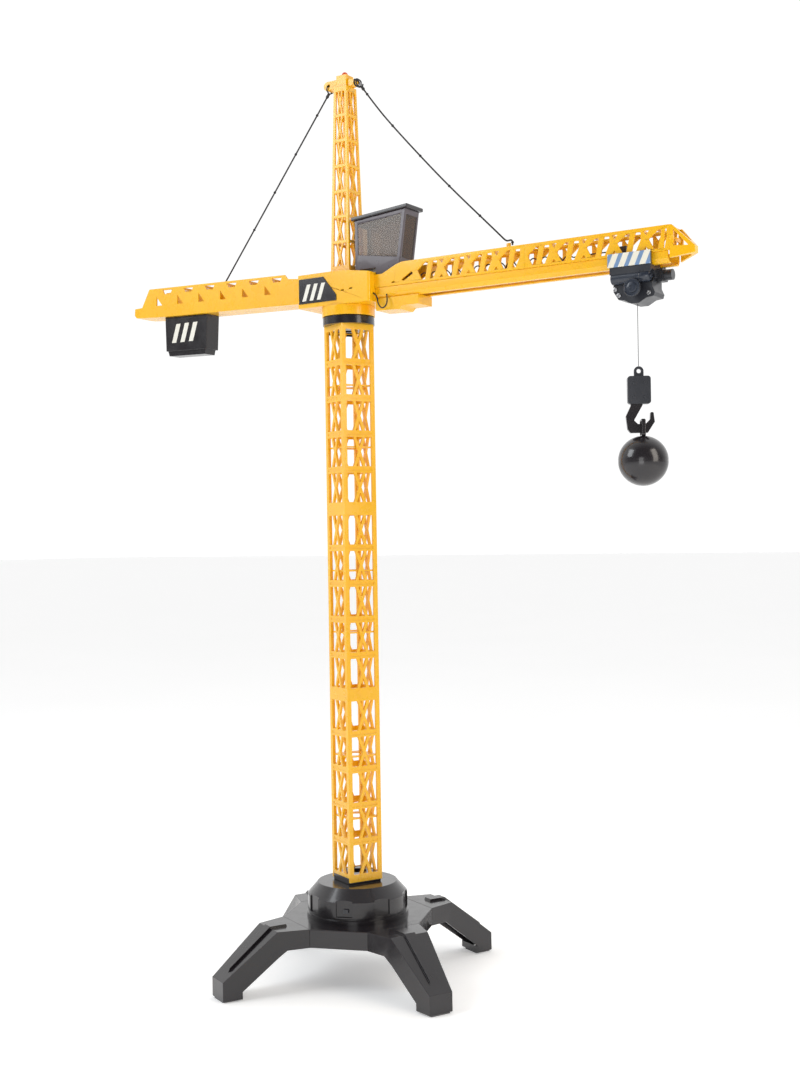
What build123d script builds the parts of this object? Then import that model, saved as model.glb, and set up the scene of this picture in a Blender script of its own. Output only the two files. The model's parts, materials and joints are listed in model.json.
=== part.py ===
"""Toy tower crane: a four-legged stand, a lattice mast and slewing upper works.

Millimetres, +Z up.  The origin is the point of the floor under the slewing axis, and +X runs
along the jib.  The stand is turned a little under the jib, the way the crane is parked.
"""

from build123d import *
from math import atan2, cos, pi, radians, sin, tan
import os

os.makedirs("parts", exist_ok=True)

# ---------------------------------------------------------------- fits and walls
SNUG = 0.2  # all round, between pieces that plug together
GAP = 0.4  # between pieces that move past each other
BEARING = 0.05  # radial, shafts in their bores
WALL = 2.4  # moulded shells

# ---------------------------------------------------------------- stand
BASE_TURN = -26.5  # of the stand under the jib, degrees
PLATE_APOTHEM = 93.8
PLATE_TOP = 82.0
PLATE_BOTTOM = 58.0
PAD_HEIGHT = 2.0
FOOT_OUTER = 207.0
FOOT_INNER = 181.0
FOOT_OUTER_HEIGHT = 26.3
FOOT_INNER_HEIGHT = 11.5
FOOT_HALF_WIDTH = 16.7
KNEE_RADIUS = 134.0
KNEE_UNDER_RADIUS = 122.0
KNEE_HALF_WIDTH = 27.5
RIB_HALF_WIDTH = 7.5
RIB_HEIGHT = 3.0
HUB_RADIUS = 67.3
HUB_SHOULDER = 111.0  # height of the top of the hub's wall
HUB_TOP = 126.5
HUB_TOP_RADIUS = 53.4
HUB_WALL = 5.0
RECESS_WIDTH = 22.0
RECESS_DEPTH = 2.6
RECESS_LOW = 92.0
RECESS_HIGH = 116.0
CELL_RADIUS = 13.0
CELL_LENGTH = 50.0
CELL_CIRCLE = 22.0

# ---------------------------------------------------------------- mast
MAST_SIDE = 49.2
MAST_WALL = 3.0
MAST_SECTIONS = ("lower", "middle", "upper")
MAST_BOTTOM = 129.5
SHORT_FACE_RISE = 5.5  # the two faces that stop above the hub
BAYS = 5
BAY_HEIGHT = 39.3
BAR_HEIGHT = 8.7
BOTTOM_COLLAR = 10.0
TOP_COLLAR = 7.5
STILE = 6.0
SPIGOT = 7.0
SECTION_HEIGHT = BAYS * BAY_HEIGHT + (BAYS - 1) * BAR_HEIGHT + BOTTOM_COLLAR + TOP_COLLAR
MAST_TOP = MAST_BOTTOM + len(MAST_SECTIONS) * SECTION_HEIGHT

# ---------------------------------------------------------------- slewing
RING_RADIUS = 35.0
RING_HEIGHT = 11.0
RING_TOP = MAST_TOP + RING_HEIGHT
NECK_RADIUS = 36.0
BOSS_RADIUS = 11.0
GEAR_MODULE = 1.0
SLEW_TEETH = 32
PINION_TEETH = 10
PINION_ANGLE = 180.0
SLEW_CENTRES = GEAR_MODULE * (SLEW_TEETH + PINION_TEETH) / 2 + 0.15
GEAR_HEIGHT = 6.0
GEAR_BOTTOM = RING_TOP + 2.0

# ---------------------------------------------------------------- turret
HOUSING_REAR = -61.0
HOUSING_FRONT = 56.0
HOUSING_HALF_WIDTH = 33.0
HOUSING_BOTTOM = RING_TOP + 14.0
HOUSING_TOP = 946.0
HOUSING_FRONT_TOP = 940.0

# ---------------------------------------------------------------- tower head
HEAD_TOP = 1198.0
HEAD_BASE_X = 30.0
HEAD_BASE_Y = 38.0
HEAD_TOP_X = 21.0
HEAD_TOP_Y = 24.0
HEAD_BAYS = 7
HEAD_WALL = 2.6
CROSSHEAD_LENGTH = 62.0
CROSSHEAD_HEIGHT = 12.0
CROSSHEAD_WIDTH = 12.0
LENS_RADIUS = 4.3
TOTAL_HEIGHT = 1220.0

# ---------------------------------------------------------------- jib
JIB_HALF_WIDTH = 20.0
JIB_BOTTOM = 919.0
JIB_TOP = 949.0
JIB_WALL = 2.4
JIB_START = 58.0
JIB_JOINT = 278.5
JIB_END = 468.0
NOSE_TIP = JIB_END + 26.0
JIB_PITCH = 40.0
FIRST_POST = 138.5  # leaning post of the first pierced bay
INNER_BAYS = 4
OUTER_BAYS = 5
RAIL_BOTTOM = 905.0
RAIL_HALF_WIDTH = 18.6
RAIL_LIP = 9.0  # half the slot between the rails
RAIL_WALL = 2.0

# ---------------------------------------------------------------- counter-jib
COUNTER_RISE = 1.5  # degrees, the tail is drawn up by its stay
COUNTER_HALF_WIDTH = 20.0
COUNTER_BOTTOM = 910.0
COUNTER_HEIGHT = 42.0
COUNTER_START = -61.0
COUNTER_TOP_START = -93.0
COUNTER_TOP_END = -342.0
COUNTER_SLOPE_END = -356.0
COUNTER_TAIL = -370.0
COUNTER_WALL = 2.4
REAR_HOOK_X = -222.0
WEIGHT_FRONT = -237.0
WEIGHT_REAR = -317.0
WEIGHT_HALF_WIDTH = 13.5
WEIGHT_HEIGHT = 50.0

# ---------------------------------------------------------------- trolley and hook
TROLLEY_X = 419.0
TROLLEY_LENGTH = 54.5
TROLLEY_HALF_WIDTH = 23.5
CAN_RADIUS = 7.0
CAN_Y = -17.5
CAN_Z = 892.5
CARRIAGE_BOTTOM = 885.0
GEARBOX_BOTTOM = 862.0
WHEEL_RADIUS = 4.0
WHEEL_BASE = 34.0
DRUM_RADIUS = 4.0
DRUM_Z = 879.0
STRING_RADIUS = 0.4
HOOK_TURN = 30.0
EYE_Z = 783.0
EYE_RADIUS = 5.7
BLOCK_TOP = 777.0
BLOCK_BOTTOM = 743.6
BLOCK_WIDTH = 27.5
BLOCK_THICKNESS = 10.0
HOOK_THICKNESS = 7.0
BALL_RADIUS = 30.0
BALL_Z = 675.7
BALL_OFFSET = 4.0


def upright(turn, offset=0.0):
    """Vertical plane: local x along the heading, local y up, normal to the heading's right."""
    heading = (cos(radians(turn)), sin(radians(turn)), 0)
    normal = (sin(radians(turn)), -cos(radians(turn)), 0)
    origin = (normal[0] * offset, normal[1] * offset, 0)
    return Plane(origin=origin, x_dir=heading, z_dir=normal)


def level(height, turn=0.0, at=(0.0, 0.0)):
    """Level plane at a height, turned about the vertical."""
    heading = (cos(radians(turn)), sin(radians(turn)), 0)
    return Plane(origin=(at[0], at[1], height), x_dir=heading, z_dir=(0, 0, 1))


def finish(part, name):
    """Label a piece and write its file."""
    part.label = name
    export_step(part, f"parts/{name}.step")
    print(f"{name:26s} {len(part.solids()):3d} solids {part.volume / 1000:9.2f} cm3")


# ================================================================ stand
def leg_outline(inset):
    """Side view of a leg: outer faces at inset 0, the hollow's faces at a wall's thickness."""
    fall = atan2(PLATE_TOP - FOOT_OUTER_HEIGHT, FOOT_OUTER - KNEE_RADIUS)
    shift = inset * tan(fall / 2)
    drop = inset / cos(fall)
    root = PLATE_APOTHEM + inset
    return [
        (root, PLATE_BOTTOM - inset),
        (root, PLATE_TOP - inset),
        (KNEE_RADIUS - shift, PLATE_TOP - inset),
        (FOOT_OUTER - inset, FOOT_OUTER_HEIGHT + inset * tan(fall) - drop),
        (FOOT_OUTER - inset, PAD_HEIGHT - inset),
        (FOOT_INNER + inset, PAD_HEIGHT - inset),
        (FOOT_INNER + inset, FOOT_INNER_HEIGHT - inset),
        (KNEE_UNDER_RADIUS, PLATE_BOTTOM - 1 - inset),
    ]


def leg_plan(inset):
    """Half widths of a leg seen from above."""
    root = PLATE_APOTHEM * tan(pi / 8) - inset
    knee = KNEE_HALF_WIDTH - inset
    foot = FOOT_HALF_WIDTH - inset
    half = [(PLATE_APOTHEM, root), (KNEE_RADIUS, knee), (FOOT_OUTER, foot)]
    return half + [(r, -w) for r, w in reversed(half)]


def leg_core(turn):
    """The hollow under a leg."""
    with BuildPart() as core:
        with BuildSketch(upright(turn)):
            with BuildLine():
                Polyline(leg_outline(WALL), close=True)
            make_face()
        extrude(amount=PLATE_APOTHEM, both=True)
        with BuildSketch(level(0, turn)):
            with BuildLine():
                Polyline(leg_plan(WALL), close=True)
            make_face()
        extrude(amount=PLATE_TOP, mode=Mode.INTERSECT)
    return core.part


def leg(turn):
    """One leg: bent box section, open below, with a raised rib down its back."""
    fall = atan2(PLATE_TOP - FOOT_OUTER_HEIGHT, FOOT_OUTER - KNEE_RADIUS)
    rib_end = FOOT_OUTER - 14.0
    rib_end_z = PLATE_TOP - (rib_end - KNEE_RADIUS) * tan(fall)
    shift = RIB_HEIGHT * tan(fall / 2)
    lift = RIB_HEIGHT / cos(fall)
    with BuildPart() as piece:
        with BuildSketch(upright(turn)):
            with BuildLine():
                Polyline(leg_outline(0.0), close=True)
            make_face()
        extrude(amount=PLATE_APOTHEM, both=True)
        with BuildSketch(level(0, turn)):
            with BuildLine():
                Polyline(leg_plan(0.0), close=True)
            make_face()
        extrude(amount=PLATE_TOP + 1, mode=Mode.INTERSECT)
        add(leg_core(turn), mode=Mode.SUBTRACT)
        with BuildSketch(upright(turn)):
            with BuildLine():
                Polyline(
                    (KNEE_RADIUS - 24, PLATE_TOP - WALL / 2),
                    (KNEE_RADIUS - 22, PLATE_TOP + RIB_HEIGHT),
                    (KNEE_RADIUS + shift, PLATE_TOP + RIB_HEIGHT),
                    (rib_end, rib_end_z + lift),
                    (rib_end + 3, rib_end_z - 3 * tan(fall) - WALL / 2),
                    (KNEE_RADIUS, PLATE_TOP - WALL / 2),
                    close=True,
                )
            make_face()
        extrude(amount=RIB_HALF_WIDTH, both=True)
    return piece.part


for name, quarter in (("front", 0), ("right", 90), ("rear", 180), ("left", 270)):
    finish(leg(BASE_TURN + quarter), f"leg_{name}")

with BuildPart() as foot_pads:
    with BuildSketch(level(0, BASE_TURN)):
        with PolarLocations((FOOT_OUTER + FOOT_INNER) / 2, 4):
            RectangleRounded(FOOT_OUTER - FOOT_INNER - 2, 2 * FOOT_HALF_WIDTH - 5, 2)
    extrude(amount=PAD_HEIGHT)
finish(foot_pads.part, "foot_pads")

with BuildPart() as base_plate:
    with BuildSketch(level(PLATE_BOTTOM, BASE_TURN)):
        RegularPolygon(PLATE_APOTHEM, 8, major_radius=False, rotation=22.5)
    extrude(amount=PLATE_TOP - PLATE_BOTTOM)
    with BuildSketch(level(PLATE_BOTTOM, BASE_TURN)):
        RegularPolygon(PLATE_APOTHEM - WALL, 8, major_radius=False, rotation=22.5)
    extrude(amount=PLATE_TOP - PLATE_BOTTOM - WALL, mode=Mode.SUBTRACT)
    with BuildSketch(level(PLATE_BOTTOM, BASE_TURN)):
        Circle(HUB_TOP_RADIUS + 2)
        Circle(HUB_TOP_RADIUS, mode=Mode.SUBTRACT)
    extrude(amount=PLATE_TOP - PLATE_BOTTOM)
    with BuildSketch(level(PLATE_BOTTOM, BASE_TURN)):
        Circle(HUB_TOP_RADIUS)
    extrude(amount=PLATE_TOP - PLATE_BOTTOM, mode=Mode.SUBTRACT)
    with BuildSketch(level(PLATE_BOTTOM, BASE_TURN)):
        with PolarLocations(PLATE_APOTHEM - 12, 4, start_angle=45):
            Circle(5)
            Circle(1.3, mode=Mode.SUBTRACT)
    extrude(amount=PLATE_TOP - PLATE_BOTTOM - WALL)
finish(base_plate.part, "base_plate")

with BuildPart() as hub_dome:
    with BuildSketch(Plane.XZ):
        with BuildLine():
            Polyline(
                (HUB_RADIUS - HUB_WALL, PLATE_TOP),
                (HUB_RADIUS + 1.2, PLATE_TOP),
                (HUB_RADIUS + 1.2, PLATE_TOP + 5),
                (HUB_RADIUS - 1.0, PLATE_TOP + 5.6),
                (HUB_RADIUS - 1.0, PLATE_TOP + 7.4),
                (HUB_RADIUS, PLATE_TOP + 8),
                (HUB_RADIUS, HUB_SHOULDER),
                (HUB_TOP_RADIUS, HUB_TOP),
                (0, HUB_TOP),
                (0, HUB_TOP - HUB_WALL),
                (HUB_TOP_RADIUS - 2, HUB_TOP - HUB_WALL),
                (HUB_RADIUS - HUB_WALL, HUB_SHOULDER - 2),
                close=True,
            )
        make_face()
    revolve(axis=Axis.Z)
    for step in range(8):
        with BuildSketch(upright(BASE_TURN + 90 + 45 * step, -(HUB_RADIUS - RECESS_DEPTH))):
            with Locations((0, (RECESS_LOW + RECESS_HIGH) / 2)):
                Rectangle(RECESS_WIDTH, RECESS_HIGH - RECESS_LOW)
        extrude(amount=-HUB_WALL * 2, mode=Mode.SUBTRACT)
    with BuildSketch(level(HUB_TOP, BASE_TURN)):
        Rectangle(36 + 2 * SNUG, 36 + 2 * SNUG)
    extrude(amount=-HUB_WALL, mode=Mode.SUBTRACT)
finish(hub_dome.part, "hub_dome")

CELL_BOTTOM = PLATE_BOTTOM + WALL
with BuildPart() as battery_box:
    with BuildSketch(level(PLATE_BOTTOM, BASE_TURN)):
        Circle(HUB_TOP_RADIUS - SNUG)
    extrude(amount=CELL_LENGTH + 2 * WALL + 1)
    with BuildSketch(level(PLATE_BOTTOM, BASE_TURN)):
        with PolarLocations(CELL_CIRCLE, 4, start_angle=45):
            Circle(CELL_RADIUS + SNUG)
    extrude(amount=CELL_LENGTH + WALL + 1, mode=Mode.SUBTRACT)
    with BuildSketch(level(PLATE_BOTTOM, BASE_TURN)):
        Circle(CELL_CIRCLE + CELL_RADIUS + 3)
    extrude(amount=WALL, mode=Mode.SUBTRACT)
finish(battery_box.part, "battery_box")

with BuildPart() as battery_door:
    with BuildSketch(level(PLATE_BOTTOM, BASE_TURN)):
        Circle(CELL_CIRCLE + CELL_RADIUS + 3 - SNUG)
    extrude(amount=WALL)
    with BuildSketch(level(PLATE_BOTTOM, BASE_TURN)):
        with GridLocations(44, 0, 2, 1):
            Circle(1.6)
    extrude(amount=WALL, mode=Mode.SUBTRACT)
finish(battery_door.part, "battery_door")

with BuildPart() as batteries:
    with BuildSketch(level(CELL_BOTTOM, BASE_TURN)):
        with PolarLocations(CELL_CIRCLE, 4, start_angle=45):
            Circle(CELL_RADIUS)
    extrude(amount=CELL_LENGTH - 2)
    with BuildSketch(level(CELL_BOTTOM + CELL_LENGTH - 2, BASE_TURN)):
        with PolarLocations(CELL_CIRCLE, 4, start_angle=45):
            Circle(3.5)
    extrude(amount=2)
finish(batteries.part, "batteries")

with BuildPart() as base_screws:
    with BuildSketch(level(PLATE_BOTTOM - 1.6, BASE_TURN)):
        with PolarLocations(PLATE_APOTHEM - 12, 4, start_angle=45):
            Circle(2.6)
    extrude(amount=1.6)
    with BuildSketch(level(PLATE_BOTTOM, BASE_TURN)):
        with PolarLocations(PLATE_APOTHEM - 12, 4, start_angle=45):
            Circle(1.3 - BEARING)
    extrude(amount=10)
    with BuildSketch(level(PLATE_BOTTOM - 1.6, BASE_TURN)):
        with PolarLocations(PLATE_APOTHEM - 12, 4, start_angle=45):
            Rectangle(3.2, 0.8)
            Rectangle(0.8, 3.2)
    extrude(amount=1.0, mode=Mode.SUBTRACT)
finish(base_screws.part, "base_screws")

SWITCH_Z = 100.0
SWITCH_TURN = BASE_TURN + 135.0
SWITCH_FACE = HUB_RADIUS - RECESS_DEPTH
with BuildPart() as power_switch:
    with BuildSketch(upright(SWITCH_TURN + 90, -(SWITCH_FACE + GAP))):
        with Locations((-2.5, SWITCH_Z)):
            RectangleRounded(7, 5, 1)
    extrude(amount=-2.2)
finish(power_switch.part, "power_switch")


# ================================================================ mast
def lattice_bay(width, height, stile, cross, rounding):
    """Openings of one crossed bay: two side openings and the two triangles of the cross."""
    half = width / 2 - stile
    top = height / 2
    foot = width * 0.185
    with BuildSketch() as openings:
        for side in (1, -1):
            with BuildLine():
                Polyline(
                    (side * half, top),
                    (side * foot, top),
                    (side * cross * 0.62, 0),
                    (side * foot, -top),
                    (side * half, -top),
                    close=True,
                )
            make_face()
        for side in (1, -1):
            with BuildLine():
                Polyline(
                    (0, side * cross * 1.5),
                    (foot - cross * 1.15, side * top),
                    (cross * 1.15 - foot, side * top),
                    close=True,
                )
            make_face()
        fillet(openings.vertices(), rounding)
    return openings.sketch


def mast_section(bottom, short_faces):
    """One length of mast: four crossed faces, collars, two diaphragms and a spigot below."""
    inner = MAST_SIDE - 2 * MAST_WALL
    with BuildPart() as piece:
        with BuildSketch(level(bottom, BASE_TURN)):
            Rectangle(MAST_SIDE, MAST_SIDE)
            Rectangle(inner, inner, mode=Mode.SUBTRACT)
        extrude(amount=SECTION_HEIGHT)
        for turn in (BASE_TURN, BASE_TURN + 90):
            with BuildSketch(upright(turn)):
                for bay in range(BAYS):
                    middle = bottom + BOTTOM_COLLAR + BAY_HEIGHT / 2 + bay * (BAY_HEIGHT + BAR_HEIGHT)
                    with Locations((0, middle)):
                        add(lattice_bay(MAST_SIDE, BAY_HEIGHT, STILE, 3.6, 0.9))
            extrude(amount=MAST_SIDE, both=True, mode=Mode.SUBTRACT)
            for side in (-MAST_SIDE / 2, MAST_SIDE / 2):
                with BuildSketch(upright(turn, side)):
                    for bar in range(1, BAYS):
                        height = bottom + BOTTOM_COLLAR + bar * (BAY_HEIGHT + BAR_HEIGHT) - BAR_HEIGHT / 2
                        with Locations((0, height)):
                            Rectangle(MAST_SIDE - 2 * STILE, BAR_HEIGHT * 0.36)
                extrude(amount=0.6, both=True, mode=Mode.SUBTRACT)
        for third in (1, 2):
            with BuildSketch(level(bottom + third * SECTION_HEIGHT / 3, BASE_TURN)):
                Rectangle(inner, inner)
                Circle(inner / 2 - 5, mode=Mode.SUBTRACT)
            extrude(amount=2)
        if short_faces:
            with BuildSketch(level(bottom, BASE_TURN)):
                Rectangle(inner, MAST_SIDE)
            extrude(amount=SHORT_FACE_RISE, mode=Mode.SUBTRACT)
        else:
            plug = inner - 2 * SNUG
            with BuildSketch(level(bottom - SPIGOT, BASE_TURN)):
                Rectangle(plug, plug)
                Rectangle(plug - 2 * MAST_WALL, plug - 2 * MAST_WALL, mode=Mode.SUBTRACT)
            extrude(amount=SPIGOT)
            with BuildSketch(level(bottom, BASE_TURN)):
                Rectangle(inner, inner)
                Rectangle(plug - 2 * MAST_WALL, plug - 2 * MAST_WALL, mode=Mode.SUBTRACT)
            extrude(amount=2)
    return piece.part


for count, name in enumerate(MAST_SECTIONS):
    finish(mast_section(MAST_BOTTOM + count * SECTION_HEIGHT, count == 0), f"mast_section_{name}")

MAST_INNER = MAST_SIDE - 2 * MAST_WALL
with BuildPart() as mast_socket:
    with BuildSketch(level(HUB_TOP - HUB_WALL, BASE_TURN)):
        Rectangle(36, 36)
    extrude(amount=HUB_WALL)
    with BuildSketch(level(HUB_TOP, BASE_TURN)):
        Rectangle(MAST_INNER - 2 * SNUG, MAST_SIDE)
    extrude(amount=MAST_BOTTOM + SHORT_FACE_RISE - HUB_TOP)
    with BuildSketch(level(MAST_BOTTOM + SHORT_FACE_RISE, BASE_TURN)):
        Rectangle(MAST_INNER - 2 * SNUG, MAST_INNER - 2 * SNUG)
    extrude(amount=4)
    with BuildSketch(level(HUB_TOP - HUB_WALL, BASE_TURN)):
        Circle(12)
    extrude(amount=40, mode=Mode.SUBTRACT)
finish(mast_socket.part, "mast_socket")

# ================================================================ slewing ring and gears
with BuildPart() as slew_ring:
    with BuildSketch(level(MAST_TOP)):
        Circle(RING_RADIUS)
    extrude(amount=RING_HEIGHT)
    chamfer(slew_ring.edges().group_by(Axis.Z)[-1], 0.8)
    with BuildSketch(level(MAST_TOP - SPIGOT, BASE_TURN)):
        Rectangle(MAST_INNER - 2 * SNUG, MAST_INNER - 2 * SNUG)
    extrude(amount=SPIGOT)
    with BuildSketch(level(RING_TOP)):
        Circle(BOSS_RADIUS)
    extrude(amount=22)
    with BuildSketch(level(MAST_TOP - SPIGOT)):
        Circle(BOSS_RADIUS - 4)
    extrude(amount=60, mode=Mode.SUBTRACT)
    with BuildSketch(level(MAST_TOP, BASE_TURN)):
        with Locations((-MAST_SIDE / 2 - 1.6, 0)):
            Rectangle(3, MAST_SIDE - 4)
    extrude(amount=-10)
finish(slew_ring.part, "slew_ring")


def gear(teeth, bore, centre, turn):
    """Straight gear with thin flat-sided teeth, which leave backlash all round."""
    pitch = GEAR_MODULE * teeth / 2
    root = pitch - 1.15 * GEAR_MODULE
    tip = pitch + 0.8 * GEAR_MODULE
    with BuildPart() as piece:
        with BuildSketch(level(GEAR_BOTTOM, turn, at=centre)):
            Circle(root)
            with PolarLocations(0, teeth):
                with BuildLine():
                    Polyline(
                        (root - 0.4, -0.66 * GEAR_MODULE),
                        (pitch, -0.5 * GEAR_MODULE),
                        (tip, -0.26 * GEAR_MODULE),
                        (tip, 0.26 * GEAR_MODULE),
                        (pitch, 0.5 * GEAR_MODULE),
                        (root - 0.4, 0.66 * GEAR_MODULE),
                        close=True,
                    )
                make_face()
            if bore:
                Circle(bore, mode=Mode.SUBTRACT)
        extrude(amount=GEAR_HEIGHT)
    return piece.part


finish(gear(SLEW_TEETH, BOSS_RADIUS, (0, 0), 0), "slew_gear")
PINION_AT = (SLEW_CENTRES * cos(radians(PINION_ANGLE)), SLEW_CENTRES * sin(radians(PINION_ANGLE)))
PINION_SHAFT = 1.5
MOTOR_FLOOR = HOUSING_BOTTOM + WALL
with BuildPart() as slew_pinion:
    add(gear(PINION_TEETH, 0, PINION_AT, 180 / PINION_TEETH))
    with BuildSketch(level(GEAR_BOTTOM, 0, at=PINION_AT)):
        Circle(PINION_SHAFT)
    extrude(amount=MOTOR_FLOOR + 8 - GEAR_BOTTOM)
finish(slew_pinion.part, "slew_pinion")

MOTOR_WIDTH = 2 * (SLEW_CENTRES - BOSS_RADIUS) - 3.0
with BuildPart() as slew_motor:
    with BuildSketch(level(MOTOR_FLOOR, 0, at=PINION_AT)):
        RectangleRounded(MOTOR_WIDTH, 24, 3)
    extrude(amount=20)
    with BuildSketch(level(MOTOR_FLOOR + 20, 0, at=PINION_AT)):
        Circle(MOTOR_WIDTH / 2 - 0.5)
    extrude(amount=14)
    with BuildSketch(level(MOTOR_FLOOR, 0, at=PINION_AT)):
        Circle(PINION_SHAFT + BEARING)
    extrude(amount=9, mode=Mode.SUBTRACT)
finish(slew_motor.part, "slew_motor")

# ================================================================ turret
with BuildPart() as turret_neck:
    with BuildSketch(Plane.XZ):
        with BuildLine():
            Polyline(
                (NECK_RADIUS - WALL, RING_TOP + GAP),
                (NECK_RADIUS, RING_TOP + GAP),
                (NECK_RADIUS, HOUSING_BOTTOM),
                (BOSS_RADIUS + BEARING, HOUSING_BOTTOM),
                (BOSS_RADIUS + BEARING, HOUSING_BOTTOM - WALL),
                (NECK_RADIUS - WALL, HOUSING_BOTTOM - WALL),
                close=True,
            )
        make_face()
    revolve(axis=Axis.Z)
    with BuildSketch(level(HOUSING_BOTTOM - WALL, 0, at=PINION_AT)):
        Circle(PINION_SHAFT + 0.5)
    extrude(amount=WALL, mode=Mode.SUBTRACT)
finish(turret_neck.part, "turret_neck")


def housing_outline(inset):
    """Side view of the turret housing."""
    return [
        (HOUSING_REAR + inset, HOUSING_BOTTOM + inset),
        (HOUSING_REAR + inset, HOUSING_TOP - inset),
        (14, HOUSING_TOP - inset),
        (HOUSING_FRONT - inset, HOUSING_FRONT_TOP - inset),
        (HOUSING_FRONT - inset, HOUSING_BOTTOM + inset),
    ]


def housing_half(side):
    """One half of the turret housing, parted on the plane of the jib."""
    with BuildPart() as piece:
        with BuildSketch(Plane.XZ):
            with BuildLine():
                Polyline(housing_outline(0.0), close=True)
            make_face()
        extrude(amount=-side * HOUSING_HALF_WIDTH)
        corners = piece.edges().filter_by(Axis.Z)
        outer = corners.sort_by(Axis.Y)[-2:] if side > 0 else corners.sort_by(Axis.Y)[:2]
        fillet(outer, 3)
        with BuildSketch(Plane.XZ):
            with BuildLine():
                Polyline(housing_outline(WALL), close=True)
            make_face()
        extrude(amount=-side * (HOUSING_HALF_WIDTH - WALL), mode=Mode.SUBTRACT)
        with BuildSketch(level(HOUSING_BOTTOM)):
            Circle(BOSS_RADIUS + 1)
            with Locations((PINION_AT[0], 0)):
                Circle(4)
        extrude(amount=WALL, mode=Mode.SUBTRACT)
        with BuildSketch(Plane.XZ.offset(-side * HOUSING_HALF_WIDTH)):
            with Locations((12.7, 919.1), (26.4, 920.3)):
                SlotOverall(5, 1.8)
        extrude(amount=side * WALL, mode=Mode.SUBTRACT)
    return piece.part


for name, side in (("left", 1), ("right", -1)):
    finish(housing_half(side), f"turret_housing_{name}")


with BuildPart() as emblem_plates:
    for side in (1, -1):
        with BuildSketch(Plane.XZ.offset(-side * HOUSING_HALF_WIDTH)):
            with BuildLine():
                Polyline(
                    (HOUSING_REAR + 3.2, 906.5),
                    (HOUSING_REAR + 3.2, 940.0),
                    (-17.2, 940.0),
                    (3.5, 914.0),
                    (3.5, 906.5),
                    close=True,
                )
            make_face()
        extrude(amount=-side * 1.0)
finish(emblem_plates.part, "emblem_plates")

# ================================================================ tower head
HEAD_HEIGHT = HEAD_TOP - HOUSING_TOP


def head_width(height, base, top):
    """Width of the tapering head at a height above its foot."""
    return base + (top - base) * height / HEAD_HEIGHT


def head_block(inset):
    """The head's tapering outside, or the hollow inside its walls."""
    outlines = ((Plane.XZ, HEAD_BASE_X, HEAD_TOP_X, Mode.ADD), (Plane.YZ, HEAD_BASE_Y, HEAD_TOP_Y, Mode.INTERSECT))
    with BuildPart() as block:
        for plane, base, top, mode in outlines:
            with BuildSketch(plane):
                with BuildLine():
                    Polyline(
                        (inset - base / 2, HOUSING_TOP),
                        (base / 2 - inset, HOUSING_TOP),
                        (top / 2 - inset, HEAD_TOP),
                        (inset - top / 2, HEAD_TOP),
                        close=True,
                    )
                make_face()
            extrude(amount=HEAD_BASE_Y, both=True, mode=mode)
    return block.part


with BuildPart() as tower_head:
    add(head_block(0.0))
    add(head_block(HEAD_WALL), mode=Mode.SUBTRACT)
    bar = 4.0
    pitch = (HEAD_HEIGHT - 12) / HEAD_BAYS
    for turn, base, top in ((0, HEAD_BASE_X, HEAD_TOP_X), (90, HEAD_BASE_Y, HEAD_TOP_Y)):
        with BuildSketch(upright(turn)):
            for bay in range(HEAD_BAYS):
                middle = 7 + (bay + 0.5) * pitch
                width = head_width(middle, base, top)
                with Locations((0, HOUSING_TOP + middle)):
                    add(lattice_bay(width, pitch - bar, 4.2, 2.2, 0.4))
        extrude(amount=HEAD_BASE_Y, both=True, mode=Mode.SUBTRACT)
    with BuildSketch(level(HEAD_TOP - 2)):
        Rectangle(HEAD_TOP_X, HEAD_TOP_Y)
    extrude(amount=2)
finish(tower_head.part, "tower_head")

with BuildPart() as crosshead:
    with BuildSketch(Plane.XZ):
        with Locations((6 - CROSSHEAD_LENGTH / 5, HEAD_TOP + CROSSHEAD_HEIGHT / 2)):
            SlotOverall(CROSSHEAD_LENGTH * 0.8, CROSSHEAD_HEIGHT)
    extrude(amount=CROSSHEAD_WIDTH / 2, both=True)
    with BuildSketch(Plane.XZ):
        with BuildLine():
            Polyline(
                (7, HEAD_TOP + CROSSHEAD_HEIGHT + 1),
                (7, HEAD_TOP + CROSSHEAD_HEIGHT - 1),
                (CROSSHEAD_LENGTH / 2, HEAD_TOP + 4),
                (CROSSHEAD_LENGTH / 2 + 2, HEAD_TOP + 4),
                (CROSSHEAD_LENGTH / 2 + 2, HEAD_TOP + CROSSHEAD_HEIGHT + 1),
                close=True,
            )
        make_face()
    extrude(amount=CROSSHEAD_WIDTH, both=True, mode=Mode.SUBTRACT)
    with BuildSketch(level(HEAD_TOP)):
        Rectangle(16, 18)
    extrude(amount=CROSSHEAD_HEIGHT + 4)
    with BuildSketch(Plane.XZ):
        with Locations((8 - CROSSHEAD_LENGTH / 2, HEAD_TOP + CROSSHEAD_HEIGHT / 2)):
            Circle(2.0)
        with Locations((CROSSHEAD_LENGTH / 2 - 8, HEAD_TOP + 3.4)):
            Circle(1.3)
    extrude(amount=CROSSHEAD_WIDTH, both=True, mode=Mode.SUBTRACT)
finish(crosshead.part, "crosshead")

LENS_BASE = HEAD_TOP + CROSSHEAD_HEIGHT + 4
with BuildPart() as beacon_lens:
    with BuildSketch(Plane.XZ):
        with BuildLine():
            Line((0, LENS_BASE), (LENS_RADIUS, LENS_BASE))
            Line((LENS_RADIUS, LENS_BASE), (LENS_RADIUS, TOTAL_HEIGHT - LENS_RADIUS))
            RadiusArc((LENS_RADIUS, TOTAL_HEIGHT - LENS_RADIUS), (0, TOTAL_HEIGHT), -LENS_RADIUS)
            Line((0, TOTAL_HEIGHT), (0, LENS_BASE))
        make_face()
    revolve(axis=Axis.Z)
finish(beacon_lens.part, "beacon_lens")

# ================================================================ jib
ROOT_LOW = 936.5  # top of the side plates beside the cab
STAY_X = 246.5


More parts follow.
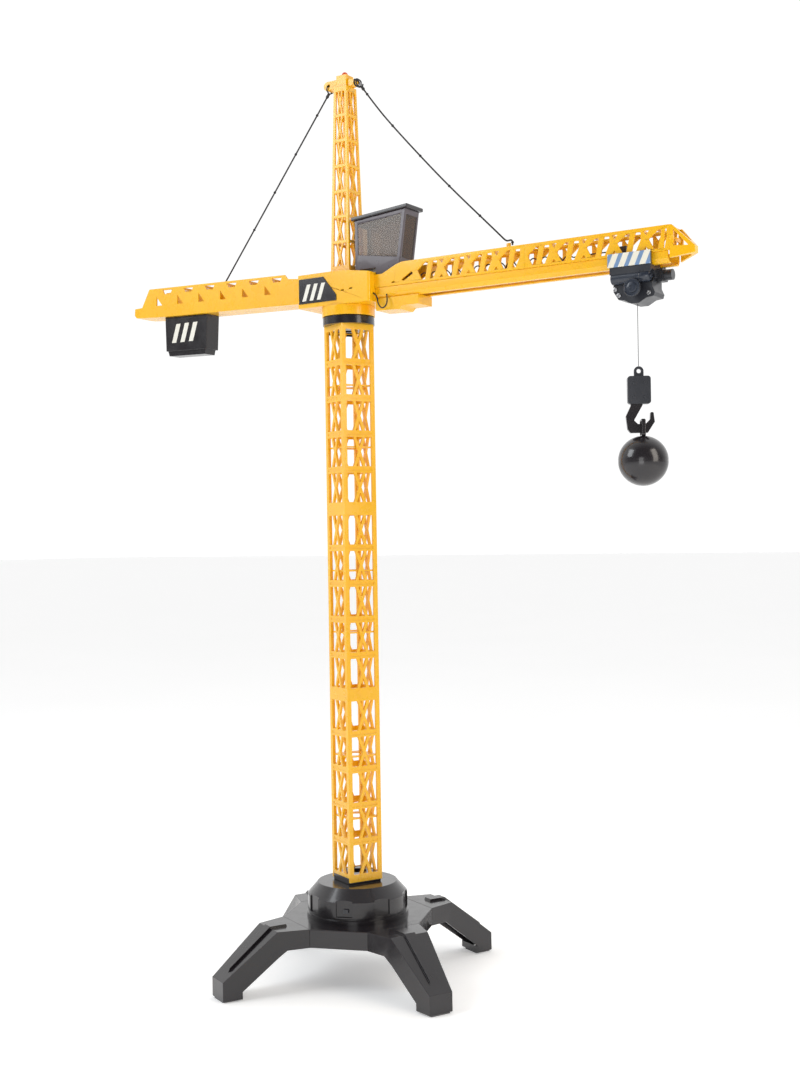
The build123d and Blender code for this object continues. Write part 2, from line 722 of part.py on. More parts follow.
def jib_openings(reach):
    """Openings of one jib bay about its leaning post; reach is how far the right one runs."""
    half = 11.2
    with BuildSketch() as openings:
        with BuildLine():
            Polyline((-16, 1.5), (-4, half), (0.5, half), (-4.5, -half), (-9.5, -half), close=True)
        make_face()
        with BuildLine():
            Polyline((2.5, -half), (min(7.5, reach - 2), half), (reach, half), (reach, 2), (reach * 0.55, -half), close=True)
        make_face()
        fillet(openings.vertices(), 0.06 * reach)
    return openings.sketch


def jib_notches():
    """Small triangles above and below the crossing between two bays."""
    with BuildSketch() as notches:
        with BuildLine():
            Polyline((-2.5, 12), (4.5, 12), (1, 6.5), close=True)
        make_face()
        with BuildLine():
            Polyline((-3, -11), (3, -11), (0.4, -6.8), close=True)
        make_face()
    return notches.sketch


def jib_section(start, end, first_post, bays, root):
    """A length of jib: two pierced sides and a pierced top, open below."""
    middle = (JIB_BOTTOM + JIB_TOP) / 2 - 0.8
    with BuildPart() as piece:
        with BuildSketch(Plane.YZ.offset(start)):
            with Locations((0, (JIB_BOTTOM + JIB_TOP) / 2)):
                Rectangle(2 * JIB_HALF_WIDTH, JIB_TOP - JIB_BOTTOM)
            with Locations((0, (JIB_BOTTOM + JIB_TOP - JIB_WALL) / 2)):
                Rectangle(2 * (JIB_HALF_WIDTH - JIB_WALL), JIB_TOP - JIB_BOTTOM - JIB_WALL, mode=Mode.SUBTRACT)
        extrude(amount=end - start)
        with BuildSketch(Plane.XZ):
            for bay in range(bays):
                post = first_post + bay * JIB_PITCH
                with Locations((post, middle)):
                    add(jib_openings(min(14.0, JIB_END - 3 - post)))
            for crossing in range(bays - 1):
                with Locations((first_post + (crossing + 0.5) * JIB_PITCH, middle)):
                    add(jib_notches())
        extrude(amount=JIB_HALF_WIDTH * 2, both=True, mode=Mode.SUBTRACT)
        with BuildSketch(level(JIB_TOP)):
            for bay in range(bays):
                with Locations((first_post + bay * JIB_PITCH - 10, 0)):
                    with GridLocations(JIB_PITCH / 2, 0, 2, 1):
                        RectangleRounded(JIB_PITCH / 2 - 5, 2 * JIB_HALF_WIDTH - 14, 3)
        extrude(amount=-JIB_WALL, mode=Mode.SUBTRACT)
        if root:
            with BuildSketch(Plane.XZ):
                with BuildLine():
                    Polyline(
                        (start, ROOT_LOW),
                        (start + 12, ROOT_LOW),
                        (start + 34, JIB_TOP - 2.5),
                        (start + 42, JIB_TOP - 0.4),
                        (start + 66, JIB_TOP + 1),
                        (start, JIB_TOP + 1),
                        close=True,
                    )
                make_face()
            extrude(amount=JIB_HALF_WIDTH * 2, both=True, mode=Mode.SUBTRACT)
            with BuildSketch(level(JIB_TOP)):
                with Locations((start + 32, 0)):
                    Rectangle(64, 2 * (JIB_HALF_WIDTH - JIB_WALL))
            extrude(amount=-JIB_WALL, mode=Mode.SUBTRACT)
            with BuildSketch(Plane.XZ):
                with BuildLine():
                    Polyline((98, 925.5), (101.5, 923.5), (116, 931.5), (113.5, 935), close=True)
                make_face()
                with Locations((85.1, 923.6)):
                    SlotOverall(5, 1.8, rotation=12)
            extrude(amount=JIB_HALF_WIDTH * 2, both=True, mode=Mode.SUBTRACT)
            with BuildSketch(level(JIB_TOP - JIB_WALL, 0, at=(STAY_X, 0))):
                Rectangle(10, 2 * (JIB_HALF_WIDTH - JIB_WALL))
            extrude(amount=JIB_WALL)
            with BuildSketch(level(JIB_TOP, 0, at=(STAY_X, 0))):
                SlotOverall(6, 4)
            extrude(amount=8.5)
    return piece.part


finish(jib_section(JIB_START - 2, JIB_JOINT, FIRST_POST, INNER_BAYS, True), "jib_section_inner")
OUTER_POST = FIRST_POST + INNER_BAYS * JIB_PITCH
finish(jib_section(JIB_JOINT, JIB_END, OUTER_POST, OUTER_BAYS, False), "jib_section_outer")

with BuildPart() as jib_rails:
    with BuildSketch(Plane.YZ.offset(HOUSING_FRONT)):
        for side in (1, -1):
            with BuildLine():
                Polyline(
                    (side * RAIL_HALF_WIDTH, JIB_BOTTOM),
                    (side * RAIL_HALF_WIDTH, RAIL_BOTTOM + 5),
                    (side * (RAIL_HALF_WIDTH - 4), RAIL_BOTTOM),
                    (side * RAIL_LIP, RAIL_BOTTOM),
                    (side * RAIL_LIP, RAIL_BOTTOM + RAIL_WALL),
                    (side * (RAIL_HALF_WIDTH - RAIL_WALL - 3), RAIL_BOTTOM + RAIL_WALL),
                    (side * (RAIL_HALF_WIDTH - RAIL_WALL), RAIL_BOTTOM + 6),
                    (side * (RAIL_HALF_WIDTH - RAIL_WALL), JIB_BOTTOM),
                    close=True,
                )
            make_face()
    extrude(amount=JIB_END - 2 - HOUSING_FRONT)
finish(jib_rails.part, "jib_rails")

with BuildPart() as jib_nose:
    with BuildSketch(Plane.XZ):
        with BuildLine():
            Polyline(
                (JIB_END, RAIL_BOTTOM + 5),
                (JIB_END, JIB_TOP),
                (JIB_END + 2.5, JIB_TOP),
                (NOSE_TIP, JIB_BOTTOM + 5),
                (NOSE_TIP, JIB_BOTTOM - 3),
                close=True,
            )
        make_face()
    extrude(amount=JIB_HALF_WIDTH, both=True)
    with BuildSketch(level(RAIL_BOTTOM)):
        with BuildLine():
            Polyline(
                (JIB_END, -JIB_HALF_WIDTH),
                (NOSE_TIP, -5),
                (NOSE_TIP, 5),
                (JIB_END, JIB_HALF_WIDTH),
                close=True,
            )
        make_face()
    extrude(amount=JIB_TOP - RAIL_BOTTOM, mode=Mode.INTERSECT)
    with BuildSketch(Plane.XZ):
        with BuildLine():
            Polyline(
                (JIB_END + 4, JIB_BOTTOM + 5.5),
                (JIB_END + 4, JIB_TOP - 6),
                (NOSE_TIP - 7, JIB_BOTTOM + 5.5),
                close=True,
            )
        make_face()
    extrude(amount=JIB_HALF_WIDTH, both=True, mode=Mode.SUBTRACT)
    with BuildSketch(level(RAIL_BOTTOM)):
        with BuildLine():
            Polyline(
                (JIB_END, 4 - JIB_HALF_WIDTH),
                (NOSE_TIP - 7, -3),
                (NOSE_TIP - 7, 3),
                (JIB_END, JIB_HALF_WIDTH - 4),
                close=True,
            )
        make_face()
    extrude(amount=JIB_TOP - RAIL_BOTTOM, mode=Mode.SUBTRACT)
    with BuildSketch(Plane.YZ.offset(JIB_END)):
        with Locations((0, (JIB_BOTTOM + JIB_TOP) / 2)):
            Rectangle(2 * JIB_HALF_WIDTH, 5)
    extrude(amount=2.5)
finish(jib_nose.part, "jib_nose")

with BuildPart() as drive_box:
    with BuildSketch(Plane.XZ):
        with BuildLine():
            Polyline(
                (HOUSING_FRONT, RAIL_BOTTOM),
                (HOUSING_FRONT, 889.0),
                (92.0, 888.0),
                (97.0, 892.4),
                (121.8, 892.4),
                (121.8, RAIL_BOTTOM),
                close=True,
            )
        make_face()
    extrude(amount=RAIL_HALF_WIDTH - 1, both=True)
    with BuildSketch(Plane.XZ):
        with BuildLine():
            Polyline(
                (HOUSING_FRONT + WALL, RAIL_BOTTOM - WALL),
                (HOUSING_FRONT + WALL, 889.0 + WALL),
                (91.0, 888.0 + WALL),
                (96.0, 892.4 + WALL),
                (121.8 - WALL, 892.4 + WALL),
                (121.8 - WALL, RAIL_BOTTOM - WALL),
                close=True,
            )
        make_face()
    extrude(amount=RAIL_HALF_WIDTH - 1 - WALL, both=True, mode=Mode.SUBTRACT)
finish(drive_box.part, "drive_box")

with BuildPart() as receiver_board:
    with BuildSketch(level(889.0 + WALL, 0, at=(74, 0))):
        Rectangle(30, 24)
    extrude(amount=1.6)
    with BuildSketch(level(889.0 + WALL + 1.6, 0, at=(74, 0))):
        with GridLocations(14, 0, 2, 1):
            Rectangle(7, 9)
    extrude(amount=1.4)
finish(receiver_board.part, "receiver_board")

# ================================================================ cab
CAB_HALF_WIDTH = JIB_HALF_WIDTH - JIB_WALL - GAP
CAB_REAR = 24.0
CAB_REAR_TOP = 1012.0
CAB_FRONT_TOP = (104.0, 1019.0)
CAB_FRONT_FOOT = (92.0, 937.0)
CAB_FRAME = 5.0


def cab_front(height):
    """Where the cab's leaning front face is at a height."""
    run = CAB_FRONT_TOP[0] - CAB_FRONT_FOOT[0]
    return CAB_FRONT_FOOT[0] + run * (height - CAB_FRONT_FOOT[1]) / (CAB_FRONT_TOP[1] - CAB_FRONT_FOOT[1])


CAB_SIDE_WINDOW = [
    (CAB_REAR + CAB_FRAME, 966.0),
    (CAB_REAR + CAB_FRAME, CAB_REAR_TOP - CAB_FRAME),
    (cab_front(1013) - CAB_FRAME, 1013.0),
    (cab_front(957) - CAB_FRAME, 957.0),
]
with BuildPart() as cab_shell:
    with BuildSketch(Plane.XZ):
        with BuildLine():
            Polyline(
                (CAB_REAR, HOUSING_TOP),
                (CAB_REAR, CAB_REAR_TOP),
                CAB_FRONT_TOP,
                CAB_FRONT_FOOT,
                (HOUSING_FRONT + GAP, CAB_FRONT_FOOT[1]),
                (HOUSING_FRONT + GAP, HOUSING_TOP),
                close=True,
            )
        make_face()
    extrude(amount=CAB_HALF_WIDTH, both=True)
    with BuildSketch(Plane.XZ):
        with BuildLine():
            Polyline(
                (CAB_REAR + 2, HOUSING_TOP + 2),
                (CAB_REAR + 2, CAB_REAR_TOP + 1),
                (CAB_FRONT_TOP[0] - 2, CAB_FRONT_TOP[1] + 1),
                (CAB_FRONT_FOOT[0] - 2, CAB_FRONT_FOOT[1] + 2),
                (HOUSING_FRONT + GAP + 2, CAB_FRONT_FOOT[1] + 2),
                (HOUSING_FRONT + GAP + 2, HOUSING_TOP + 2),
                close=True,
            )
        make_face()
    extrude(amount=CAB_HALF_WIDTH - 2, both=True, mode=Mode.SUBTRACT)
    with BuildSketch(Plane.XZ):
        with BuildLine():
            Polyline(CAB_SIDE_WINDOW, close=True)
        make_face()
    extrude(amount=CAB_HALF_WIDTH * 2, both=True, mode=Mode.SUBTRACT)
    with BuildSketch(Plane.YZ.offset(CAB_REAR + 10)):
        with Locations((0, 984)):
            Rectangle(2 * (CAB_HALF_WIDTH - 4), 56)
    extrude(amount=100, mode=Mode.SUBTRACT)
    with BuildSketch(Plane.YZ.offset(CAB_REAR)):
        with Locations((0, 986)):
            Rectangle(2 * (CAB_HALF_WIDTH - 5), 38)
    extrude(amount=4, mode=Mode.SUBTRACT)
finish(cab_shell.part, "cab_shell")

with BuildPart() as cab_panes:
    for side in (1, -1):
        with BuildSketch(Plane.XZ.offset(-side * (CAB_HALF_WIDTH - 1.6))):
            with BuildLine():
                Polyline(CAB_SIDE_WINDOW, close=True)
            make_face()
        extrude(amount=-side * 1.0)
    with BuildSketch(Plane.XZ):
        with BuildLine():
            Polyline(
                (cab_front(956) - 1.6, 956.0),
                (cab_front(1012) - 1.6, 1012.0),
                (cab_front(1012) - 0.6, 1012.0),
                (cab_front(956) - 0.6, 956.0),
                close=True,
            )
        make_face()
    extrude(amount=CAB_HALF_WIDTH - 4, both=True)
finish(cab_panes.part, "cab_panes")

with BuildPart() as cab_roof:
    with BuildSketch(Plane.XZ):
        with BuildLine():
            Polyline(
                (CAB_REAR - 4, CAB_REAR_TOP - 0.35),
                (CAB_REAR - 4, CAB_REAR_TOP + 4.4),
                (108.5, 1024.2),
                (108.5, 1019.4),
                close=True,
            )
        make_face()
    extrude(amount=JIB_HALF_WIDTH + 0.5, both=True)
finish(cab_roof.part, "cab_roof")

# ================================================================ counter-jib
COUNTER_PIVOT = (COUNTER_START, 0, COUNTER_BOTTOM)
COUNTER_PLANE = Plane(
    origin=COUNTER_PIVOT,
    x_dir=(-cos(radians(COUNTER_RISE)), 0, sin(radians(COUNTER_RISE))),
    z_dir=(0, 1, 0),
)
COUNTER_FLOOR = Plane(
    origin=COUNTER_PIVOT,
    x_dir=(-cos(radians(COUNTER_RISE)), 0, sin(radians(COUNTER_RISE))),
    z_dir=(-sin(radians(COUNTER_RISE)), 0, -cos(radians(COUNTER_RISE))),
)


def aft(x):
    """Distance along the counter-jib of a place given by its x."""
    return COUNTER_START - x


def counter_height(x, z):
    """Height above the counter-jib's floor of a point of the side view."""
    return z - COUNTER_BOTTOM - aft(x) * tan(radians(COUNTER_RISE))


with BuildPart() as counter_jib:
    with BuildSketch(COUNTER_PLANE):
        with BuildLine():
            Polyline(
                (0, 0),
                ((COUNTER_HEIGHT - 8) * tan(radians(COUNTER_RISE)), COUNTER_HEIGHT - 8),
                (aft(COUNTER_TOP_START) - 5, COUNTER_HEIGHT - 6),
                (aft(COUNTER_TOP_START), COUNTER_HEIGHT),
                (aft(COUNTER_TOP_END), COUNTER_HEIGHT),
                (aft(COUNTER_SLOPE_END), 16),
                (aft(COUNTER_TAIL), 15),
                (aft(COUNTER_TAIL) + 0.5, 5),
                (aft(COUNTER_TAIL) - 4, 1.5),
                (aft(-330), 0),
                close=True,
            )
        make_face()
    extrude(amount=COUNTER_HALF_WIDTH, both=True)
    with BuildSketch(COUNTER_PLANE):
        with Locations((aft(COUNTER_TAIL) / 2, COUNTER_HEIGHT / 2 + COUNTER_WALL)):
            Rectangle(aft(COUNTER_TAIL) + 20, COUNTER_HEIGHT)
    extrude(amount=COUNTER_HALF_WIDTH - COUNTER_WALL, both=True, mode=Mode.SUBTRACT)
    with BuildSketch(COUNTER_PLANE):
        for bay in range(6):
            left = aft(-307) - bay * JIB_PITCH
            with BuildLine():
                Polyline(
                    (left - 9, COUNTER_HEIGHT - 3),
                    (left + 9, COUNTER_HEIGHT - 3),
                    (left + 6, COUNTER_HEIGHT - 9),
                    (left - 6, COUNTER_HEIGHT - 9),
                    close=True,
                )
            make_face()
            with BuildLine():
                Polyline(
                    (left + 21, COUNTER_HEIGHT - 12),
                    (left + 21, COUNTER_HEIGHT - 25),
                    (left + 10, COUNTER_HEIGHT - 25),
                    close=True,
                )
            make_face()
    extrude(amount=COUNTER_HALF_WIDTH * 2, both=True, mode=Mode.SUBTRACT)
    with BuildSketch(COUNTER_PLANE):
        for rung in range(5):
            with Locations((aft(-288) - rung * JIB_PITCH, COUNTER_HEIGHT - 1.5)):
                Rectangle(4, 3)
    extrude(amount=COUNTER_HALF_WIDTH - COUNTER_WALL, both=True)
    with BuildSketch(COUNTER_PLANE):
        with Locations((aft(COUNTER_TAIL) - 1, 8)):
            Rectangle(2, 12)
    extrude(amount=COUNTER_HALF_WIDTH - COUNTER_WALL, both=True)
    with BuildSketch(COUNTER_PLANE):
        with BuildLine():
            Polyline(
                (aft(REAR_HOOK_X) - 5, COUNTER_WALL),
                (aft(REAR_HOOK_X) - 2, COUNTER_HEIGHT - 10),
                (aft(REAR_HOOK_X) + 2, COUNTER_HEIGHT - 10),
                (aft(REAR_HOOK_X) + 5, COUNTER_WALL),
                close=True,
            )
        make_face()
    extrude(amount=1.5, both=True)
finish(counter_jib.part, "counter_jib")


def weight_outline(inset, top, bottom):
    """Side view of the counterweight box, drafted inwards going down."""
    return [
        (aft(WEIGHT_FRONT) + inset, -top),
        (aft(WEIGHT_REAR) - inset, -top),
        (aft(WEIGHT_REAR) - 2.5 - inset, -bottom),
        (aft(WEIGHT_FRONT) + 1.5 + inset, -bottom),
    ]


with BuildPart() as counterweight:
    with BuildSketch(COUNTER_PLANE):
        with BuildLine():
            Polyline(weight_outline(0, 0, WEIGHT_HEIGHT), close=True)
        make_face()
    extrude(amount=WEIGHT_HALF_WIDTH, both=True)
    fillet(counterweight.edges().filter_by(Axis.Y, reverse=True).sort_by(Axis.Z)[4:8], 1.2)
    with BuildSketch(COUNTER_PLANE):
        with BuildLine():
            Polyline(weight_outline(2, 2, WEIGHT_HEIGHT + 1), close=True)
        make_face()
    extrude(amount=WEIGHT_HALF_WIDTH - 2, both=True, mode=Mode.SUBTRACT)
finish(counterweight.part, "counterweight")

with BuildPart() as counterweight_lid:
    with BuildSketch(COUNTER_PLANE):
        with BuildLine():
            Polyline(weight_outline(4.5, WEIGHT_HEIGHT, WEIGHT_HEIGHT + 7), close=True)
        make_face()
    extrude(amount=WEIGHT_HALF_WIDTH - 2.5, both=True)
    with BuildSketch(COUNTER_PLANE):
        with BuildLine():
            Polyline(weight_outline(5.5, WEIGHT_HEIGHT - 5, WEIGHT_HEIGHT), close=True)
        make_face()
    extrude(amount=WEIGHT_HALF_WIDTH - 2.3, both=True)
finish(counterweight_lid.part, "counterweight_lid")

with BuildPart() as ballast:
    with BuildSketch(COUNTER_PLANE):
        with Locations(((aft(WEIGHT_FRONT) + aft(WEIGHT_REAR)) / 2, -WEIGHT_HEIGHT + 5 + 17)):
            Rectangle(60, 34)
    extrude(amount=9.5, both=True)
finish(ballast.part, "ballast")


# ================================================================ cords
def corner_radii(points):
    """Largest tangent arcs that the runs of a route allow."""
    radii = []
    for before, here, after in zip(points, points[1:], points[2:]):
        first = Vector(*here) - Vector(*before)
        second = Vector(*after) - Vector(*here)
        turn = radians(first.get_angle(second))
        radii.append(0.45 * min(first.length, second.length) / tan(turn / 2))
    return radii


def cord(points, radius, name):
    """Plain tube along straight runs joined by tangent arcs."""
    radii = corner_radii(points)
    with BuildPart() as piece:
        with BuildLine() as route:
            if radii:
                FilletPolyline(*points, radius=radii)
            else:
                Line(*points)
        path = route.wires()[0]
        with BuildSketch(Plane(origin=path @ 0, z_dir=path % 0)):
            Circle(radius)
        sweep(path=path)
    share = piece.part.volume / (pi * radius**2 * path.length)
    print(f"{name}: length {path.length:.1f}, radii {[round(r, 1) for r in radii]}, volume ratio {share:.4f}")
    return piece.part


STAY_RADIUS = 1.1
CROSSHEAD_EYE = CROSSHEAD_LENGTH / 2 - 8
EYE_HEIGHT = HEAD_TOP + 6
REAR_HOOK_TOP = COUNTER_BOTTOM + COUNTER_HEIGHT - 10 + aft(REAR_HOOK_X) * sin(radians(COUNTER_RISE))
rear_stay = cord(
    [(-CROSSHEAD_EYE - 3.6, 0, HEAD_TOP - 2.6), (REAR_HOOK_X + 1.5, 0, REAR_HOOK_TOP + 1.6)],
    STAY_RADIUS,
    "rear_stay",
)
finish(rear_stay, "rear_stay")

FRONT_STAY_ROUTE = [
    (CROSSHEAD_EYE + 4.0, 0, HEAD_TOP - 2.4),
    (52.0, 0, 1162.0),
    (80.5, 0, 1129.0),
    (110.0, 0, 1096.5),
    (141.0, 0, 1063.0),
    (173.0, 0, 1030.0),
    (207.0, 0, 996.5),
    (234.2, 0, 969.6),
    (242.4, 0, 961.2),
    (246.4, 0, 960.9),
    (250.2, 0, 961.6),
    (252.4, 0, 958.4),
    (251.7, 0, 954.6),
]
finish(cord(FRONT_STAY_ROUTE, STAY_RADIUS, "front_stay"), "front_stay")

LOOP_Y = -JIB_HALF_WIDTH - 3.5
CABLE_LOOP_ROUTE = [
    (HOUSING_FRONT, LOOP_Y, 912.0),
    (HOUSING_FRONT + 7.0, LOOP_Y - 1.0, 907.0),
    (HOUSING_FRONT + 8.0, LOOP_Y - 1.5, 897.5),
    (HOUSING_FRONT + 13.5, LOOP_Y - 1.2, 889.5),
    (HOUSING_FRONT + 20.5, LOOP_Y - 0.4, 893.0),
    (HOUSING_FRONT + 21.5, LOOP_Y + 1.2, 902.0),
    (HOUSING_FRONT + 18.0, LOOP_Y + 4.8, 909.0),
]
finish(cord(CABLE_LOOP_ROUTE, 0.9, "cable_loop"), "cable_loop")

COIL_ROUTE = [
    (HOUSING_FRONT + 2, 0, 930.0),
    (HOUSING_FRONT + 60, 1.0, 930.6),
    (HOUSING_FRONT + 118, -0.6, 929.6),
    (HOUSING_FRONT + 176, 0.8, 930.4),
    (HOUSING_FRONT + 234, -0.8, 929.8),
    (HOUSING_FRONT + 290, 0.0, 930.0),
]
COIL_RADIUS = 5.0
finish(cord(COIL_ROUTE, COIL_RADIUS, "trolley_cable_coil"), "trolley_cable_coil")
LEAD_RADIUS = 1.0
CLAMP_X = TROLLEY_X - 22.0
lead = cord([(HOUSING_FRONT + 290, 0, 930.0), (CLAMP_X, 0, 930.0)], LEAD_RADIUS, "trolley_cable_lead")
finish(lead, "trolley_cable_lead")

# ================================================================ trolley
AXLE_Z = RAIL_BOTTOM + RAIL_WALL + WHEEL_RADIUS
AXLE_RADIUS = 1.25
WHEEL_INNER = RAIL_LIP - 1.0
WHEEL_OUTER = RAIL_HALF_WIDTH - RAIL_WALL - 3.5
WEB_HALF_WIDTH = 6.5
BRIDGE_TOP = RAIL_BOTTOM - GAP
CARRIAGE_REAR = TROLLEY_X - TROLLEY_LENGTH / 2 + 2
CARRIAGE_FRONT = TROLLEY_X + TROLLEY_LENGTH / 2

with BuildPart() as trolley_frame:
    with BuildSketch(Plane.YZ.offset(CARRIAGE_REAR)):
        with BuildLine():
            Polyline(
                (-TROLLEY_HALF_WIDTH, CARRIAGE_BOTTOM + 6),
                (-TROLLEY_HALF_WIDTH, JIB_BOTTOM + 2),
                (-JIB_HALF_WIDTH - GAP, JIB_BOTTOM + 2),
                (-JIB_HALF_WIDTH - GAP, BRIDGE_TOP),
                (-WEB_HALF_WIDTH, BRIDGE_TOP),
                (-WEB_HALF_WIDTH, JIB_BOTTOM - 2),
                (WEB_HALF_WIDTH, JIB_BOTTOM - 2),
                (WEB_HALF_WIDTH, BRIDGE_TOP),
                (JIB_HALF_WIDTH + GAP, BRIDGE_TOP),
                (JIB_HALF_WIDTH + GAP, JIB_BOTTOM + 2),
                (TROLLEY_HALF_WIDTH, JIB_BOTTOM + 2),
                (TROLLEY_HALF_WIDTH, CARRIAGE_BOTTOM + 6),
                close=True,
            )
        make_face()
    extrude(amount=CARRIAGE_FRONT - CARRIAGE_REAR)
    with BuildSketch(Plane.XZ):
        with Locations(*[(TROLLEY_X + s * WHEEL_BASE / 2, AXLE_Z) for s in (-1, 1)]):
            Circle(AXLE_RADIUS + BEARING)
    extrude(amount=WEB_HALF_WIDTH, both=True, mode=Mode.SUBTRACT)
    with BuildSketch(Plane.XZ):
        with Locations((TROLLEY_X, CARRIAGE_BOTTOM + 6 + 2.5)):
            Rectangle(TROLLEY_LENGTH - 14, 5)
    extrude(amount=TROLLEY_HALF_WIDTH - 3, both=True, mode=Mode.SUBTRACT)
    with BuildSketch(level(CARRIAGE_BOTTOM + 6, 0, at=(TROLLEY_X, 0))):
        Rectangle(8, 6)
    extrude(amount=BRIDGE_TOP - CARRIAGE_BOTTOM, mode=Mode.SUBTRACT)
    with BuildSketch(Plane.YZ.offset(CARRIAGE_REAR)):
        with Locations((CAN_Y, CAN_Z)):
            Circle(CAN_RADIUS + SNUG)
    extrude(amount=TROLLEY_LENGTH, mode=Mode.SUBTRACT)
    with BuildSketch(level(JIB_BOTTOM - 2, 0, at=(CLAMP_X + 7, 0))):
        Rectangle(6, 8)
    extrude(amount=8)
    with BuildSketch(level(JIB_BOTTOM + 6, 0, at=(CLAMP_X + 5, 0))):
        Rectangle(10, 8)
    extrude(amount=9)
finish(trolley_frame.part, "trolley_frame")

with BuildPart() as stripe_plates:
    for side in (1, -1):
        with BuildSketch(Plane.XZ.offset(-side * TROLLEY_HALF_WIDTH)):
            with Locations((TROLLEY_X, JIB_BOTTOM - 5.5)):
                Rectangle(TROLLEY_LENGTH, 16)
        extrude(amount=-side * 1.6)
finish(stripe_plates.part, "stripe_plates")


def wheel_axle(x):
    """Two wheels on one axle, running on the lips of the rails."""
    with BuildPart() as piece:
        with BuildSketch(Plane.XZ):
            with Locations((x, AXLE_Z)):
                Circle(AXLE_RADIUS)
        extrude(amount=WHEEL_OUTER, both=True)
        for side in (1, -1):
            with BuildSketch(Plane.XZ.offset(side * WHEEL_INNER)):
                with Locations((x, AXLE_Z)):
                    Circle(WHEEL_RADIUS - BEARING)
            extrude(amount=side * (WHEEL_OUTER - WHEEL_INNER))
    return piece.part


finish(wheel_axle(TROLLEY_X - WHEEL_BASE / 2), "wheel_axle_rear")
finish(wheel_axle(TROLLEY_X + WHEEL_BASE / 2), "wheel_axle_front")

DRUM_X = TROLLEY_X + DRUM_RADIUS + STRING_RADIUS
GEARBOX_HALF_WIDTH = 15.0
GEARBOX_TOP = CARRIAGE_BOTTOM + 6
BOSS_FACE = CAN_RADIUS + GAP - CAN_Y  # the round cover clears the motor can
with BuildPart() as hoist_gearbox:
    with BuildSketch(Plane.XZ):
        with BuildLine():
            Polyline(
                (CARRIAGE_REAR + 1, GEARBOX_TOP),
                (CARRIAGE_REAR + 1, 878.0),
                (398.5, 872.0),
                (401.0, 868.0),
                (409.0, 866.5),
                (417.0, GEARBOX_BOTTOM),
                (427.0, GEARBOX_BOTTOM),
                (437.0, 867.5),
                (446.0, 868.5),
                (447.5, 873.0),
                (CARRIAGE_FRONT - 2, 880.0),
                (CARRIAGE_FRONT - 2, GEARBOX_TOP),
                close=True,
            )
        make_face()
    extrude(amount=GEARBOX_HALF_WIDTH, both=True)
    with BuildSketch(Plane.YZ.offset(CARRIAGE_REAR)):
        with Locations((CAN_Y, CAN_Z)):
            Circle(CAN_RADIUS + SNUG)
    extrude(amount=TROLLEY_LENGTH, mode=Mode.SUBTRACT)
    with BuildSketch(Plane.XZ.offset(GEARBOX_HALF_WIDTH)):
        with Locations((DRUM_X, DRUM_Z)):
            Circle(5)
    extrude(amount=BOSS_FACE - GEARBOX_HALF_WIDTH)
    with BuildSketch(Plane.XZ.offset(BOSS_FACE)):
        with Locations((DRUM_X, DRUM_Z)):
            Circle(10.7)
    extrude(amount=2.5)
    with BuildSketch(Plane.XZ):
        with Locations((DRUM_X, DRUM_Z)):
            Circle(9 + GAP)
    extrude(amount=8 + GAP, both=True, mode=Mode.SUBTRACT)
    with BuildSketch(Plane.XZ):
        with Locations((DRUM_X, DRUM_Z)):
            Circle(2 + BEARING)
    extrude(amount=13, both=True, mode=Mode.SUBTRACT)
    with BuildSketch(level(GEARBOX_BOTTOM - 1, 0, at=(TROLLEY_X, 0))):
        Rectangle(4, 5)
    extrude(amount=GEARBOX_TOP - GEARBOX_BOTTOM + 2, mode=Mode.SUBTRACT)
finish(hoist_gearbox.part, "hoist_gearbox")

with BuildPart() as winch_drum:
    with BuildSketch(Plane.XZ):
        with Locations((DRUM_X, DRUM_Z)):
            Circle(DRUM_RADIUS)
    extrude(amount=8, both=True)
    for side in (1, -1):
        with BuildSketch(Plane.XZ.offset(side * 6.5)):
            with Locations((DRUM_X, DRUM_Z)):
                Circle(9)
        extrude(amount=side * 1.5)
    with BuildSketch(Plane.XZ):
        with Locations((DRUM_X, DRUM_Z)):
            Circle(2)
    extrude(amount=12.8, both=True)
finish(winch_drum.part, "winch_drum")

with BuildPart() as hoist_motor:
    with BuildSketch(Plane.YZ.offset(CARRIAGE_FRONT)):
        with Locations((6, 895)):
            Circle(6.5)
    extrude(amount=16)
    with BuildSketch(Plane.YZ.offset(CARRIAGE_FRONT)):
        with Locations((6, 895)):
            RectangleRounded(17, 15, 2)
    extrude(amount=6)
finish(hoist_motor.part, "hoist_motor")

with BuildPart() as travel_motor:
    with BuildSketch(Plane.YZ.offset(CARRIAGE_REAR + 1)):
        with Locations((CAN_Y, CAN_Z)):
            Circle(CAN_RADIUS)
    extrude(amount=TROLLEY_LENGTH - 6)
    chamfer(travel_motor.edges().group_by(Axis.X)[-1], 1.2)
    with BuildSketch(Plane.YZ.offset(CARRIAGE_REAR + TROLLEY_LENGTH - 5)):
        with Locations((CAN_Y, CAN_Z)):
            Circle(3)
    extrude(amount=2)
finish(travel_motor.part, "travel_motor")

SCREW_PLACES = [(402.0, 873.0), (440.0, 873.0), (397.5, 880.5)]
with BuildPart() as trolley_screws:
    with BuildSketch(Plane.XZ.offset(GEARBOX_HALF_WIDTH)):
        with Locations(*SCREW_PLACES):
            Circle(2.6)
    extrude(amount=1.4)
    with BuildSketch(Plane.XZ.offset(GEARBOX_HALF_WIDTH + 1.4)):
        with Locations(*SCREW_PLACES):
            Rectangle(3.0, 0.8)
            Rectangle(0.8, 3.0)
    extrude(amount=-0.8, mode=Mode.SUBTRACT)
finish(trolley_screws.part, "trolley_screws")

